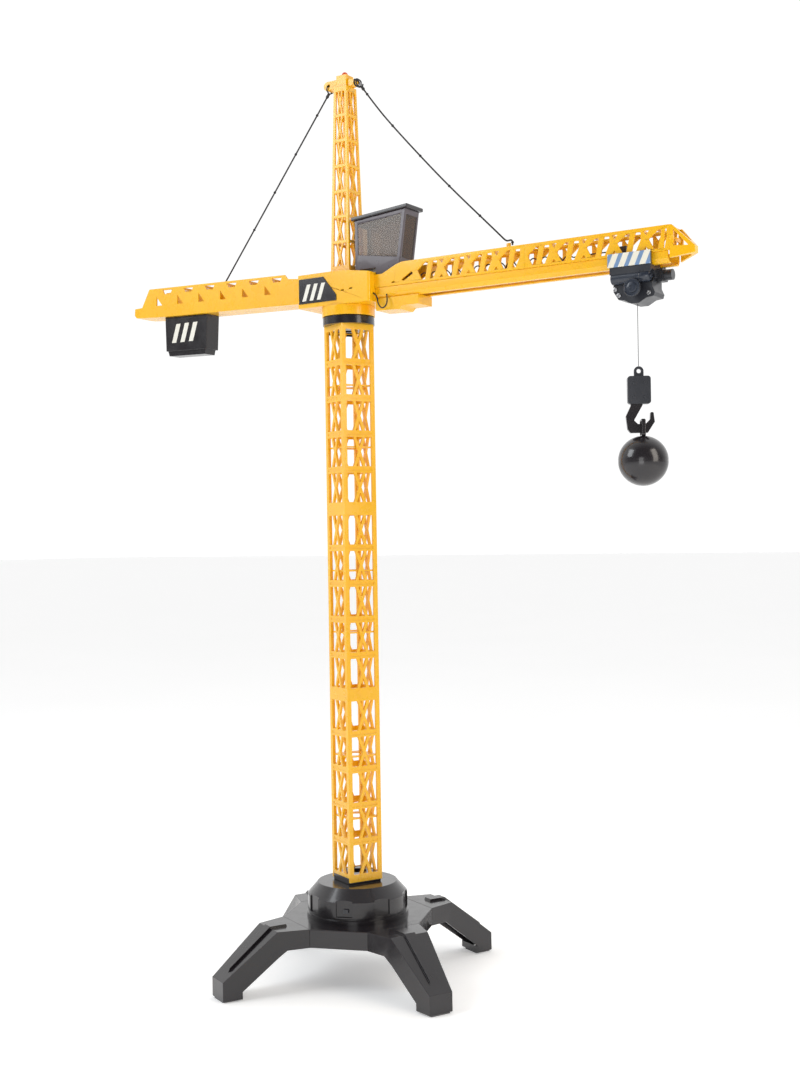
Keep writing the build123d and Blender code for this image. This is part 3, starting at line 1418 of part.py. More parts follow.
# ================================================================ hook and ball
with BuildPart() as hoist_string:
    with BuildSketch(level(EYE_Z + EYE_RADIUS + GAP, 0, at=(TROLLEY_X, 0))):
        Circle(STRING_RADIUS)
    extrude(amount=DRUM_Z - EYE_Z - EYE_RADIUS - GAP)
finish(hoist_string.part, "hoist_string")


def hook_plane(offset=0.0):
    """Plane of the hook, turned about the string, seen from its open side."""
    turn = radians(HOOK_TURN)
    normal = (sin(turn), -cos(turn), 0)
    origin = (TROLLEY_X + normal[0] * offset, normal[1] * offset, 0)
    return Plane(origin=origin, x_dir=(cos(turn), sin(turn), 0), z_dir=normal)


with BuildPart() as hook_block:
    with BuildSketch(hook_plane()):
        with Locations((0, (BLOCK_TOP + BLOCK_BOTTOM) / 2)):
            RectangleRounded(BLOCK_WIDTH, BLOCK_TOP - BLOCK_BOTTOM, 3.5)
    extrude(amount=BLOCK_THICKNESS / 2, both=True)
    with BuildSketch(hook_plane()):
        with Locations((0, EYE_Z)):
            Circle(EYE_RADIUS)
        with Locations((0, EYE_Z - 4)):
            Rectangle(2 * EYE_RADIUS, 6)
        with Locations((0, EYE_Z)):
            Circle(2.6, mode=Mode.SUBTRACT)
    extrude(amount=1.8, both=True)
    with BuildSketch(level(BLOCK_BOTTOM, HOOK_TURN, at=(TROLLEY_X, 0))):
        with Locations((-3.2, 0)):
            Rectangle(14, HOOK_THICKNESS)
    extrude(amount=8, mode=Mode.SUBTRACT)
finish(hook_block.part, "hook_block")

with BuildPart() as hook_rivets:
    with BuildSketch(hook_plane(BLOCK_THICKNESS / 2)):
        with Locations((0, (BLOCK_TOP + BLOCK_BOTTOM) / 2)):
            with GridLocations(13, 17.5, 2, 2):
                Circle(1.5)
    extrude(amount=0.8)
    with BuildSketch(hook_plane(-BLOCK_THICKNESS / 2)):
        with Locations((0, (BLOCK_TOP + BLOCK_BOTTOM) / 2)):
            with GridLocations(13, 17.5, 2, 2):
                Circle(1.5)
    extrude(amount=-0.8)
finish(hook_rivets.part, "hook_rivets")

HOOK_BAR_Z = 714.3
with BuildPart() as hook:
    with BuildSketch(hook_plane()) as hook_shape:
        with BuildLine():
            Polyline(
                (-10.2, BLOCK_BOTTOM + 8),
                (-10.2, BLOCK_BOTTOM - 2),
                (-16.2, 729.0),
                (-14.4, 713.5),
                (-11.0, 709.0),
                (9.5, 709.0),
                (12.5, 713.5),
                (18.0, 722.0),
                (16.6, 733.5),
                (13.0, 733.5),
                (12.4, 725.0),
                (7.0, 719.6),
                (-2.0, 719.6),
                (-6.6, 724.0),
                (3.8, BLOCK_BOTTOM - 1.5),
                (3.8, BLOCK_BOTTOM + 8),
                close=True,
            )
        make_face()
        fillet(hook_shape.vertices().sort_by(Axis.Z)[:12], 1.2)
    extrude(amount=HOOK_THICKNESS / 2, both=True)
finish(hook.part, "hook")

LOOP_HALF = 7.4
LOOP_DEPTH = 5.0
BALL_AT = (
    TROLLEY_X + BALL_OFFSET * cos(radians(HOOK_TURN)),
    BALL_OFFSET * sin(radians(HOOK_TURN)),
)
LOOP_AXIS = (cos(radians(HOOK_TURN)), sin(radians(HOOK_TURN)), 0)
LOOP_ACROSS = (-sin(radians(HOOK_TURN)), cos(radians(HOOK_TURN)), 0)
with BuildPart() as ball_loop:
    with BuildSketch(Plane(origin=(*BALL_AT, 0), x_dir=LOOP_ACROSS, z_dir=LOOP_AXIS)):
        with Locations((0, HOOK_BAR_Z + 0.75)):
            RectangleRounded(2 * LOOP_HALF + 5, 2 * LOOP_HALF + 6.5, 4)
        with Locations((0, HOOK_BAR_Z - 10)):
            Rectangle(8, 8)
        with Locations((0, HOOK_BAR_Z + 0.75)):
            RectangleRounded(2 * LOOP_HALF, 2 * LOOP_HALF + 1.5, 2, mode=Mode.SUBTRACT)
    extrude(amount=LOOP_DEPTH / 2, both=True)
finish(ball_loop.part, "ball_loop")

with BuildPart() as wrecking_ball:
    with BuildSketch(Plane(origin=(BALL_AT[0], BALL_AT[1], BALL_Z), x_dir=(1, 0, 0), z_dir=(0, -1, 0))):
        with BuildLine():
            CenterArc((0, 0), BALL_RADIUS, -90, 180)
            Line((0, -BALL_RADIUS), (0, BALL_RADIUS))
        make_face()
    revolve(axis=Axis((BALL_AT[0], BALL_AT[1], 0), (0, 0, 1)))
finish(wrecking_ball.part, "wrecking_ball")
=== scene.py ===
"""Finish model of a toy tower crane: materials, soft-edged mouldings, cords, light and camera.

Everything is in metres in the crane's own frame: +Z up, the origin on the floor under the
slewing axis, +X along the jib.
"""

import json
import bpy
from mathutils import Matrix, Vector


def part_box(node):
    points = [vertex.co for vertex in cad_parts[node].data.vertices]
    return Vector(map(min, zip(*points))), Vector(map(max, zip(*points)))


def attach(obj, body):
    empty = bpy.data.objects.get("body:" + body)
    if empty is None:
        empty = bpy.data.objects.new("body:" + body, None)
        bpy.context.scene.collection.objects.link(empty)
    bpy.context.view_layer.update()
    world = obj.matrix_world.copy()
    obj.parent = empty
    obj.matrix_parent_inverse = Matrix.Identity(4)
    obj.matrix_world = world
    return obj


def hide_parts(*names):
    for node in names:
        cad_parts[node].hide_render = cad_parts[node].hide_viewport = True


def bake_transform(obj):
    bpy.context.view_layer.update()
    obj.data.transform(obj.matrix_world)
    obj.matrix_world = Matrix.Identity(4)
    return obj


bl_info = {
    "name": "Toy tower crane",
    "version": (1, 0, 0),
    "blender": (4, 5, 0),
    "location": "View3D > Sidebar > Crane",
    "description": "Builds the finish model of a toy tower crane",
    "category": "Add Mesh",
}

from math import cos, pi, radians, sin

import bmesh
import bpy
from bpy.props import FloatProperty, FloatVectorProperty, IntProperty, PointerProperty
from mathutils import Matrix, Vector

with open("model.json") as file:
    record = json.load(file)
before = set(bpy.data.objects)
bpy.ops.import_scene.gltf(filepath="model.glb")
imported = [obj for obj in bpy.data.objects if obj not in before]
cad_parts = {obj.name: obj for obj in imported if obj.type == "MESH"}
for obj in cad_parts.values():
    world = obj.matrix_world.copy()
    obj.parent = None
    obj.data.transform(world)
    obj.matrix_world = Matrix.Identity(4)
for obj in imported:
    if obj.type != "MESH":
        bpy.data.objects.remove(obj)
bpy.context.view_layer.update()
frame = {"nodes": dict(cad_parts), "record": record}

MM = 0.001
WELD_WITHIN = 0.002 * MM
FLAT_WITHIN = radians(0.4)
SHARP_OVER = 35
PRINT_THICKNESS = 0.25 * MM

# ================================================================ cord routes and sizes
REAR_STAY = [(-0.0266, 0, 1.1954), (-0.1235, 0, 1.0723), (-0.2205, 0, 0.9494)]
FRONT_STAY = [
    (0.0270, 0, 1.1956),
    (0.0520, 0, 1.1620),
    (0.0805, 0, 1.1290),
    (0.1100, 0, 1.0965),
    (0.1410, 0, 1.0630),
    (0.1730, 0, 1.0300),
    (0.2070, 0, 0.9965),
    (0.2342, 0, 0.9696),
    (0.2424, 0, 0.9612),
    (0.2464, 0, 0.9609),
    (0.2502, 0, 0.9616),
    (0.2524, 0, 0.9584),
    (0.2517, 0, 0.9546),
]
CABLE_LOOP = [
    (0.0560, -0.0235, 0.9120),
    (0.0630, -0.0245, 0.9070),
    (0.0640, -0.0250, 0.8975),
    (0.0695, -0.0247, 0.8895),
    (0.0765, -0.0239, 0.8930),
    (0.0775, -0.0223, 0.9020),
    (0.0740, -0.0187, 0.9090),
]
TROLLEY_CABLE = [
    (0.0580, 0, 0.9300),
    (0.1160, 0.0010, 0.9306),
    (0.1740, -0.0006, 0.9296),
    (0.2320, 0.0008, 0.9304),
    (0.2900, -0.0008, 0.9298),
    (0.3460, 0, 0.9300),
    (0.3970, 0, 0.9300),
]
COIL_END = 0.346
CURL_RADIUS = 0.0042
TROLLEY_X = 0.419
STRING_TOP = 0.879
STRING_FOOT = 0.7891
STAY_DIAMETER = 0.0022
LOOP_DIAMETER = 0.0018
CURL_DIAMETER = 0.0016
STRING_DIAMETER = 0.0008
BEAD_RADIUS = 0.0019
# (radius, height) along the knot
KNOT_PROFILE = [
    (0, -0.0042), (0.0013, -0.0036), (0.0021, -0.0018), (0.0017, -0.0004),
    (0.0023, 0.0012), (0.0018, 0.0030), (0.0011, 0.0042), (0, 0.0046),
]
# the arm of the crosshead that the front stay is wound round: its place and its half sizes
ARM_X = 0.0185
ARM_Z = 1.2014
ARM_HALF_WIDTH = 0.0072
ARM_HALF_HEIGHT = 0.0047
ARM_TURNS = 2
TURN_PITCH = 0.0030

# ================================================================ trolley, ball and print sizes
WINCH_COVER = (0.4234, -0.0274, 0.879)
BALL_RADIUS = 0.030
PARTING_DEPTH = 0.00018
STRIPE_PITCH = 0.0135
STRIPE_SHIFT = 0.0215
STRIPE_LEAN = -0.45
STRIPE_SHARE = 0.42
TURRET_BARS = {"face": 0.03398, "starts": (-52, -40, -28), "width": 6, "low": 910, "high": 932, "lean": 8}
WEIGHT_BARS = {"face": 0.01348, "starts": (-304, -288, -272), "width": 8, "low": 878, "high": 905, "lean": 9}


# ================================================================ settings
class CraneColours(bpy.types.PropertyGroup):
    yellow: FloatVectorProperty(
        name="Yellow", description="Mast, jib and turret plastic", subtype="COLOR",
        default=(0.93, 0.50, 0.004), min=0, max=1,
    )
    black: FloatVectorProperty(
        name="Black", description="Stand, ball and counterweight plastic", subtype="COLOR",
        default=(0.012, 0.010, 0.012), min=0, max=1,
    )
    stripe: FloatVectorProperty(
        name="Stripe", description="Slanted stripes on the trolley", subtype="COLOR",
        default=(0.17, 0.28, 0.47), min=0, max=1,
    )
    lens: FloatVectorProperty(
        name="Lens", description="Beacon lens", subtype="COLOR",
        default=(0.85, 0.12, 0.02), min=0, max=1,
    )


class CraneSizes(bpy.types.PropertyGroup):
    edge: FloatProperty(
        name="Edge", description="Radius on the moulded edges", default=0.55 * MM, min=0.0001, max=0.002,
        unit="LENGTH",
    )
    fine_edge: FloatProperty(
        name="Fine edge", description="Radius on thin lattice edges", default=0.35 * MM, min=0.0001,
        max=0.001, unit="LENGTH",
    )
    bead_pitch: FloatProperty(
        name="Bead pitch", description="Distance between the beads on a stay", default=55 * MM,
        min=0.01, max=0.2, unit="LENGTH",
    )
    coil_turns: IntProperty(
        name="Cable turns", description="Turns of the curly trolley cable", default=18, min=4, max=60,
    )


class CraneStage(bpy.types.PropertyGroup):
    lens: FloatProperty(
        name="Lens", description="Focal length", default=46.86, min=10, max=200, unit="CAMERA",
    )
    sky: FloatProperty(
        name="Sky", description="Strength of the pale surround", default=1.05, min=0, max=5,
    )
    key: FloatProperty(
        name="Key light", description="Power of the main soft box", default=34, min=0, max=900,
    )
    front: FloatProperty(
        name="Front light", description="Power of the soft box by the camera", default=8, min=0, max=900,
    )
    fill: FloatProperty(
        name="Fill light", description="Power of the side soft box", default=22, min=0, max=900,
    )


# ================================================================ helpers
def settings():
    """The scene's colours, sizes and stage."""
    scene = bpy.context.scene
    return scene.crane_colours, scene.crane_sizes, scene.crane_stage


def node_object(name):
    """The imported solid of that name."""
    return frame["nodes"][name]


def body_of_node(name):
    """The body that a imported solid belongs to."""
    for body, members in frame["record"]["behaviour"]["bodies"].items():
        if name in members:
            return body
    raise ValueError(f"{name} is in no body")


def new_piece(name, mesh, material):
    """An object at the origin with that mesh and one material."""
    piece = bpy.data.objects.new(name, mesh)
    bpy.context.scene.collection.objects.link(piece)
    mesh.materials.clear()
    mesh.materials.append(material)
    return piece


def mesh_of(form, name):
    """The mesh of a finished bmesh, its faces pointing outwards."""
    bmesh.ops.recalc_face_normals(form, faces=form.faces)
    mesh = bpy.data.meshes.new(name)
    form.to_mesh(mesh)
    form.free()
    return mesh


def settle(piece):
    """Apply the piece's modifiers and keep the plain mesh."""
    graph = bpy.context.evaluated_depsgraph_get()
    mesh = bpy.data.meshes.new_from_object(piece.evaluated_get(graph))
    piece.modifiers.clear()
    piece.data = mesh
    return piece


def flat_regions(form, angle):
    """Groups of touching faces that lie in one plane, in the order of the mesh's faces."""
    seen = set()
    regions = []
    for first in form.faces:
        if first in seen:
            continue
        seen.add(first)
        region = [first]
        waiting = [first]
        while waiting:
            face = waiting.pop()
            for edge in face.edges:
                for other in edge.link_faces:
                    if other not in seen and other.normal.angle(first.normal, pi) < angle:
                        seen.add(other)
                        region.append(other)
                        waiting.append(other)
        regions.append(region)
    return regions


def join_flat_faces(form):
    """Make one face of each flat region that has no hole in it."""
    inner = []
    for region in flat_regions(form, FLAT_WITHIN):
        members = set(region)
        corners = {vert for face in region for vert in face.verts}
        sides = dict.fromkeys(edge for face in region for edge in face.edges)
        if len(region) > 1 and len(corners) - len(sides) + len(region) == 1:
            inner += [edge for edge in sides if all(face in members for face in edge.link_faces)]
    bmesh.ops.dissolve_edges(form, edges=inner, use_verts=False)


def moulded(name, material, edge, segments=2, smooth_under=32.0):
    """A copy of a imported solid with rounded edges, standing for it."""
    mesh = node_object(name).data.copy()
    form = bmesh.new()
    form.from_mesh(mesh)
    bmesh.ops.remove_doubles(form, verts=form.verts, dist=WELD_WITHIN)
    form.normal_update()
    join_flat_faces(form)
    form.to_mesh(mesh)
    form.free()
    mesh.shade_smooth()
    piece = new_piece(f"{name}_moulding", mesh, material)
    rounding = piece.modifiers.new("Edges", "BEVEL")
    rounding.width = edge
    rounding.segments = segments
    rounding.limit_method = "ANGLE"
    rounding.angle_limit = radians(smooth_under)
    rounding.use_clamp_overlap = True
    rounding.miter_outer = "MITER_ARC"
    weighting = piece.modifiers.new("Normals", "WEIGHTED_NORMAL")
    weighting.keep_sharp = True
    weighting.weight = 90
    settle(piece)
    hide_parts(name)
    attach(piece, body_of_node(name))
    return piece


def side_place(x, y, z):
    """A frame on a side of the crane: its X along the jib, its Z away from the middle."""
    outward = -1 if y < 0 else 1
    return Matrix(((-outward, 0, 0, x), (0, 0, outward, y), (0, 1, 0, z), (0, 0, 0, 1)))


def plate_mesh(name, outlines, place, thickness):
    """Thin flat plates of those outlines, raised from a frame along its Z."""
    form = bmesh.new()
    for outline in outlines:
        low = [form.verts.new(place @ Vector((x, y, 0))) for x, y in outline]
        high = [form.verts.new(place @ Vector((x, y, thickness))) for x, y in outline]
        form.faces.new(list(reversed(low)))
        form.faces.new(high)
        for count in range(len(outline)):
            after = (count + 1) % len(outline)
            form.faces.new((low[count], low[after], high[after], high[count]))
    return mesh_of(form, name)


def leaning_bars(starts, width, low, high, lean):
    """Outlines of leaning bars side by side."""
    return [[(x, low), (x + width, low), (x + width + lean, high), (x + lean, high)] for x in starts]


def add_bars(name, face, starts, width, low, high, lean):
    """Leaning bars printed on both sides of a black plate; all but face are in mm."""
    for side, outward in (("left", 1), ("right", -1)):
        places = [-outward * x * MM - (width * MM if outward > 0 else 0) for x in starts]
        bars = leaning_bars(places, width * MM, low * MM, high * MM, -outward * lean * MM)
        mesh = plate_mesh(name, bars, side_place(0, outward * face, 0), PRINT_THICKNESS)
        piece = new_piece(f"{name}_{side}", mesh, cream_print())
        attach(piece, "upper_works")


def paint_node(name, material):
    """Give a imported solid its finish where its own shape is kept."""
    solid = node_object(name)
    if solid.material_slots:
        for place in solid.material_slots:
            place.material = material
    else:
        solid.data.materials.append(material)


def polyline_of(route):
    """Points along the smooth NURBS line through a cord's route."""
    curve = nurbs_line("route", route)
    holder = bpy.data.objects.new("route", curve)
    bpy.context.scene.collection.objects.link(holder)
    graph = bpy.context.evaluated_depsgraph_get()
    mesh = bpy.data.meshes.new_from_object(holder.evaluated_get(graph))
    points = [vertex.co.copy() for vertex in mesh.vertices]
    bpy.data.objects.remove(holder)
    bpy.data.curves.remove(curve)
    bpy.data.meshes.remove(mesh)
    return points


def nurbs_line(name, route):
    """An open NURBS curve whose control points are the route."""
    curve = bpy.data.curves.new(name, "CURVE")
    curve.dimensions = "3D"
    curve.resolution_u = 10
    spline = curve.splines.new("NURBS")
    spline.points.add(len(route) - 1)
    for point, place in zip(spline.points, route):
        point.co = (*place, 1)
    spline.order_u = 3
    spline.use_endpoint_u = True
    return curve


def cord_curve(name, route, diameter, material, nodes, body):
    """A round cord on its route, standing for its plain tubes."""
    curve = nurbs_line(name, route)
    curve.bevel_depth = diameter / 2
    curve.bevel_resolution = 5
    curve.use_fill_caps = True
    curve.materials.append(material)
    cord = bpy.data.objects.new(name, curve)
    bpy.context.scene.collection.objects.link(cord)
    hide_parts(*nodes)
    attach(cord, body)
    return cord


def tube_mesh(name, points, radius, sides=10):
    """A closed round tube along points, with a frame carried along without twist."""
    form = bmesh.new()
    tangent = (points[1] - points[0]).normalized()
    side = tangent.orthogonal().normalized()
    rings = []
    for count, point in enumerate(points):
        ahead = points[min(count + 1, len(points) - 1)] - points[max(count - 1, 0)]
        ahead.normalize()
        side = (side - ahead * side.dot(ahead)).normalized()
        across = ahead.cross(side)
        ring = []
        for step in range(sides):
            angle = 2 * pi * step / sides
            ring.append(form.verts.new(point + radius * (cos(angle) * side + sin(angle) * across)))
        rings.append(ring)
    for first, second in zip(rings, rings[1:]):
        for step in range(sides):
            after = (step + 1) % sides
            form.faces.new((first[step], first[after], second[after], second[step]))
    form.faces.new(list(reversed(rings[0])))
    form.faces.new(rings[-1])
    mesh = mesh_of(form, name)
    mesh.shade_smooth()
    return mesh


def lathe_mesh(name, profile, centre, axis=Vector((0, 0, 1)), steps=48):
    """A closed solid of revolution: profile holds (radius, height) pairs from end to end."""
    form = bmesh.new()
    turn = axis.to_track_quat("Z", "Y").to_matrix()
    rings = []
    for radius, height in profile:
        if radius < 1e-7:
            rings.append([form.verts.new(centre + turn @ Vector((0, 0, height)))])
            continue
        ring = []
        for step in range(steps):
            angle = 2 * pi * step / steps
            place = Vector((radius * cos(angle), radius * sin(angle), height))
            ring.append(form.verts.new(centre + turn @ place))
        rings.append(ring)
    for first, second in zip(rings, rings[1:]):
        for step in range(steps):
            after = (step + 1) % steps
            if len(first) == 1 and len(second) > 1:
                form.faces.new((first[0], second[step], second[after]))
            elif len(second) == 1 and len(first) > 1:
                form.faces.new((first[step], second[0], first[after]))
            elif len(first) > 1:
                form.faces.new((first[step], second[step], second[after], first[after]))
    mesh = mesh_of(form, name)
    mesh.shade_smooth()
    return mesh


def set_smooth_under(mesh, angle):
    """Smooth shading, but for edges sharper than the angle."""
    mesh.shade_smooth()
    mesh.set_sharp_from_angle(angle=radians(angle))


# ================================================================ materials
def start_material(name):
    """An empty node material with its shader."""
    material = bpy.data.materials.new(name)
    material.use_nodes = True
    tree = material.node_tree
    tree.nodes.clear()
    output = tree.nodes.new("ShaderNodeOutputMaterial")
    shader = tree.nodes.new("ShaderNodeBsdfPrincipled")
    tree.links.new(shader.outputs["BSDF"], output.inputs["Surface"])
    return material, tree, shader


def noise(tree, scale, detail=3.0, roughness=0.5, stretch=(1, 1, 1)):
    """Noise on the piece's own coordinates."""
    place = tree.nodes.new("ShaderNodeTexCoord")
    mapping = tree.nodes.new("ShaderNodeMapping")
    mapping.inputs["Scale"].default_value = stretch
    texture = tree.nodes.new("ShaderNodeTexNoise")
    texture.inputs["Scale"].default_value = scale
    texture.inputs["Detail"].default_value = detail
    texture.inputs["Roughness"].default_value = roughness
    tree.links.new(place.outputs["Object"], mapping.inputs["Vector"])
    tree.links.new(mapping.outputs["Vector"], texture.inputs["Vector"])
    return texture.outputs["Fac"]


def spread(tree, factor, low, high):
    """Stretch a 0 to 1 pattern over a range of values."""
    ranging = tree.nodes.new("ShaderNodeMapRange")
    ranging.inputs["From Min"].default_value = 0.3
    ranging.inputs["From Max"].default_value = 0.7
    ranging.inputs["To Min"].default_value = low
    ranging.inputs["To Max"].default_value = high
    tree.links.new(factor, ranging.inputs["Value"])
    return ranging.outputs["Result"]


def arithmetic(tree, operation, first, second=0.0):
    """A sum on a pattern and a number or another pattern."""
    node = tree.nodes.new("ShaderNodeMath")
    node.operation = operation
    tree.links.new(first, node.inputs[0])
    if isinstance(second, float):
        node.inputs[1].default_value = second
    else:
        tree.links.new(second, node.inputs[1])
    return node.outputs["Value"]


def blend_colours(tree, factor, first, second):
    """Mix two colours by a pattern."""
    mixing = tree.nodes.new("ShaderNodeMix")
    mixing.data_type = "RGBA"
    mixing.inputs["A"].default_value = (*first, 1)
    mixing.inputs["B"].default_value = (*second, 1)
    tree.links.new(factor, mixing.inputs["Factor"])
    return mixing.outputs["Result"]


def bump(tree, shader, height, strength, distance):
    """Raise the surface by a pattern."""
    raising = tree.nodes.new("ShaderNodeBump")
    raising.inputs["Strength"].default_value = strength
    raising.inputs["Distance"].default_value = distance
    tree.links.new(height, raising.inputs["Height"])
    tree.links.new(raising.outputs["Normal"], shader.inputs["Normal"])


def moulded_plastic(name, colour, shade, roughness, coat, grain=900.0, relief=0.06):
    """Injection-moulded plastic: faint flow marks in its colour, slightly uneven gloss, fine sink."""
    material, tree, shader = start_material(name)
    flow = noise(tree, 14.0, 2.0, stretch=(1, 1, 0.35))
    tint = spread(tree, flow, 0.0, 1.0)
    tree.links.new(blend_colours(tree, tint, colour, shade), shader.inputs["Base Color"])
    gloss = spread(tree, noise(tree, 60.0, 4.0, 0.6), roughness * 0.8, roughness * 1.25)
    tree.links.new(gloss, shader.inputs["Roughness"])
    bump(tree, shader, noise(tree, grain, 2.0), relief, 0.00008)
    shader.inputs["IOR"].default_value = 1.5
    shader.inputs["Coat Weight"].default_value = coat
    shader.inputs["Coat Roughness"].default_value = 0.08
    return material


def scaled(colour, amount):
    """A lighter or darker shade of a colour."""
    return tuple(max(0.0, min(1.0, part * amount)) for part in colour)


def yellow_plastic():
    """Glossy yellow moulding plastic."""
    colours, _, _ = settings()
    found = bpy.data.materials.get("yellow_plastic_finish")
    if found:
        return found
    material, tree, shader = start_material("yellow_plastic_finish")
    flow = spread(tree, noise(tree, 14.0, 2.0, stretch=(1, 1, 0.35)), 0.0, 1.0)
    first = tuple(colours.yellow)
    second = (first[0] * 0.97, first[1] * 0.92, first[2])
    tree.links.new(blend_colours(tree, flow, first, second), shader.inputs["Base Color"])
    gloss = spread(tree, noise(tree, 60.0, 4.0, 0.6), 0.22, 0.36)
    tree.links.new(gloss, shader.inputs["Roughness"])
    bump(tree, shader, noise(tree, 700.0, 2.0), 0.05, 0.00008)
    shader.inputs["IOR"].default_value = 1.5
    shader.inputs["Coat Weight"].default_value = 0.35
    shader.inputs["Coat Roughness"].default_value = 0.1
    shader.inputs["Subsurface Weight"].default_value = 0.08
    shader.inputs["Subsurface Radius"].default_value = (0.003, 0.0015, 0.0004)
    shader.inputs["Subsurface Scale"].default_value = 1.0
    return material


def black_plastic():
    """Glossy near-black moulding plastic."""
    colours, _, _ = settings()
    found = bpy.data.materials.get("black_plastic_finish")
    if found:
        return found
    first = tuple(colours.black)
    return moulded_plastic("black_plastic_finish", scaled(first, 0.8), scaled(first, 1.3), 0.22, 0.3)


def satin_black():
    """Satin black plastic of the trolley and small fittings."""
    found = bpy.data.materials.get("satin_black_finish")
    if found:
        return found
    first, second = (0.020, 0.022, 0.028), (0.030, 0.032, 0.040)
    return moulded_plastic("satin_black_finish", first, second, 0.34, 0.2)


def motor_blue():
    """Blue-black plastic of the trolley's motor and cover."""
    found = bpy.data.materials.get("motor_blue_finish")
    if found:
        return found
    first, second = (0.016, 0.022, 0.036), (0.024, 0.031, 0.048)
    return moulded_plastic("motor_blue_finish", first, second, 0.28, 0.3)


def cab_frame_plastic():
    """Grey-mauve plastic of the cab."""
    found = bpy.data.materials.get("cab_frame_finish")
    if found:
        return found
    return moulded_plastic("cab_frame_finish", (0.060, 0.045, 0.055), (0.080, 0.062, 0.075), 0.30, 0.4)


def white_gear_plastic():
    """Off-white engineering plastic of gears and wheels."""
    found = bpy.data.materials.get("gear_finish")
    if found:
        return found
    return moulded_plastic("gear_finish", (0.75, 0.74, 0.68), (0.68, 0.67, 0.62), 0.35, 0.1)


def cream_print():
    """Cream print on the black badges."""
    found = bpy.data.materials.get("cream_print_finish")
    if found:
        return found
    return moulded_plastic("cream_print_finish", (0.86, 0.84, 0.76), (0.80, 0.78, 0.70), 0.3, 0.2)


def pad_rubber():
    """Matt grey rubber of the foot pads."""
    found = bpy.data.materials.get("pad_rubber_finish")
    if found:
        return found
    first, second = (0.10, 0.10, 0.105), (0.13, 0.13, 0.135)
    return moulded_plastic("pad_rubber_finish", first, second, 0.75, 0.0, 1400.0, 0.3)


def screw_steel():
    """Bright plated steel."""
    found = bpy.data.materials.get("screw_steel_finish")
    if found:
        return found
    material, tree, shader = start_material("screw_steel_finish")
    tint = spread(tree, noise(tree, 400.0, 3.0), 0.0, 1.0)
    colour = blend_colours(tree, tint, (0.62, 0.62, 0.63), (0.50, 0.50, 0.52))
    tree.links.new(colour, shader.inputs["Base Color"])
    tree.links.new(spread(tree, noise(tree, 900.0), 0.16, 0.32), shader.inputs["Roughness"])
    shader.inputs["Metallic"].default_value = 1.0
    return material


def cord_black():
    """Matt black cord with a fine bumpy grain."""
    found = bpy.data.materials.get("cord_black_finish")
    if found:
        return found
    first, second = (0.010, 0.010, 0.011), (0.020, 0.020, 0.022)
    return moulded_plastic("cord_black_finish", first, second, 0.5, 0.0, 1600.0, 0.5)


def smoked_glass():
    """Smoky brown see-through glazing."""
    found = bpy.data.materials.get("smoked_glass_finish")
    if found:
        return found
    material, tree, shader = start_material("smoked_glass_finish")
    tint = spread(tree, noise(tree, 20.0, 2.0), 0.0, 1.0)
    colour = blend_colours(tree, tint, (0.20, 0.115, 0.05), (0.16, 0.09, 0.04))
    tree.links.new(colour, shader.inputs["Base Color"])
    tree.links.new(spread(tree, noise(tree, 90.0), 0.03, 0.07), shader.inputs["Roughness"])
    shader.inputs["IOR"].default_value = 1.45
    shader.inputs["Transmission Weight"].default_value = 0.85
    return material


def lens_plastic():
    """Clear red-orange lens plastic, with a faint painted glow in its own colour."""
    colours, _, _ = settings()
    found = bpy.data.materials.get("lens_finish")
    if found:
        return found
    material, tree, shader = start_material("lens_finish")
    first = tuple(colours.lens)
    tint = spread(tree, noise(tree, 120.0, 2.0), 0.0, 1.0)
    tree.links.new(blend_colours(tree, tint, first, scaled(first, 0.85)), shader.inputs["Base Color"])
    tree.links.new(spread(tree, noise(tree, 300.0), 0.06, 0.12), shader.inputs["Roughness"])
    shader.inputs["Transmission Weight"].default_value = 0.45
    shader.inputs["Coat Weight"].default_value = 0.6
    # Painted glow: the lens gives off a little light in its own colour, as if lit from within.
    shader.inputs["Emission Color"].default_value = (*first, 1)
    shader.inputs["Emission Strength"].default_value = 0.12
    return material


def striped_plate():
    """Cream plate with slanted blue-grey stripes."""
    colours, _, _ = settings()
    found = bpy.data.materials.get("striped_plate_finish")
    if found:
        return found
    material, tree, shader = start_material("striped_plate_finish")
    place = tree.nodes.new("ShaderNodeTexCoord")
    split = tree.nodes.new("ShaderNodeSeparateXYZ")
    tree.links.new(place.outputs["Object"], split.inputs["Vector"])
    lean = arithmetic(tree, "MULTIPLY", split.outputs["Z"], STRIPE_LEAN)
    along = arithmetic(tree, "ADD", split.outputs["X"], lean)
    shifted = arithmetic(tree, "ADD", along, STRIPE_SHIFT)
    counted = arithmetic(tree, "DIVIDE", shifted, STRIPE_PITCH)
    part = arithmetic(tree, "FRACT", counted)
    chosen = arithmetic(tree, "LESS_THAN", part, STRIPE_SHARE)
    colour = blend_colours(tree, chosen, (0.82, 0.78, 0.66), tuple(colours.stripe))
    tree.links.new(colour, shader.inputs["Base Color"])
    tree.links.new(spread(tree, noise(tree, 80.0), 0.28, 0.42), shader.inputs["Roughness"])
    bump(tree, shader, noise(tree, 800.0), 0.08, 0.00006)
    return material


# ================================================================ stage
CAMERA_PLACE = Vector((1.0884, -1.5876, 0.5876))
CAMERA_AZIMUTH = radians(32.5)
CAMERA_ROLL = 0.0157
CAMERA_RISE = -0.0066
FLOOR_GLOW = 0.30
ROOM_GLOW = 0.16
LAMP_TARGET = (0, 0, 0.6)


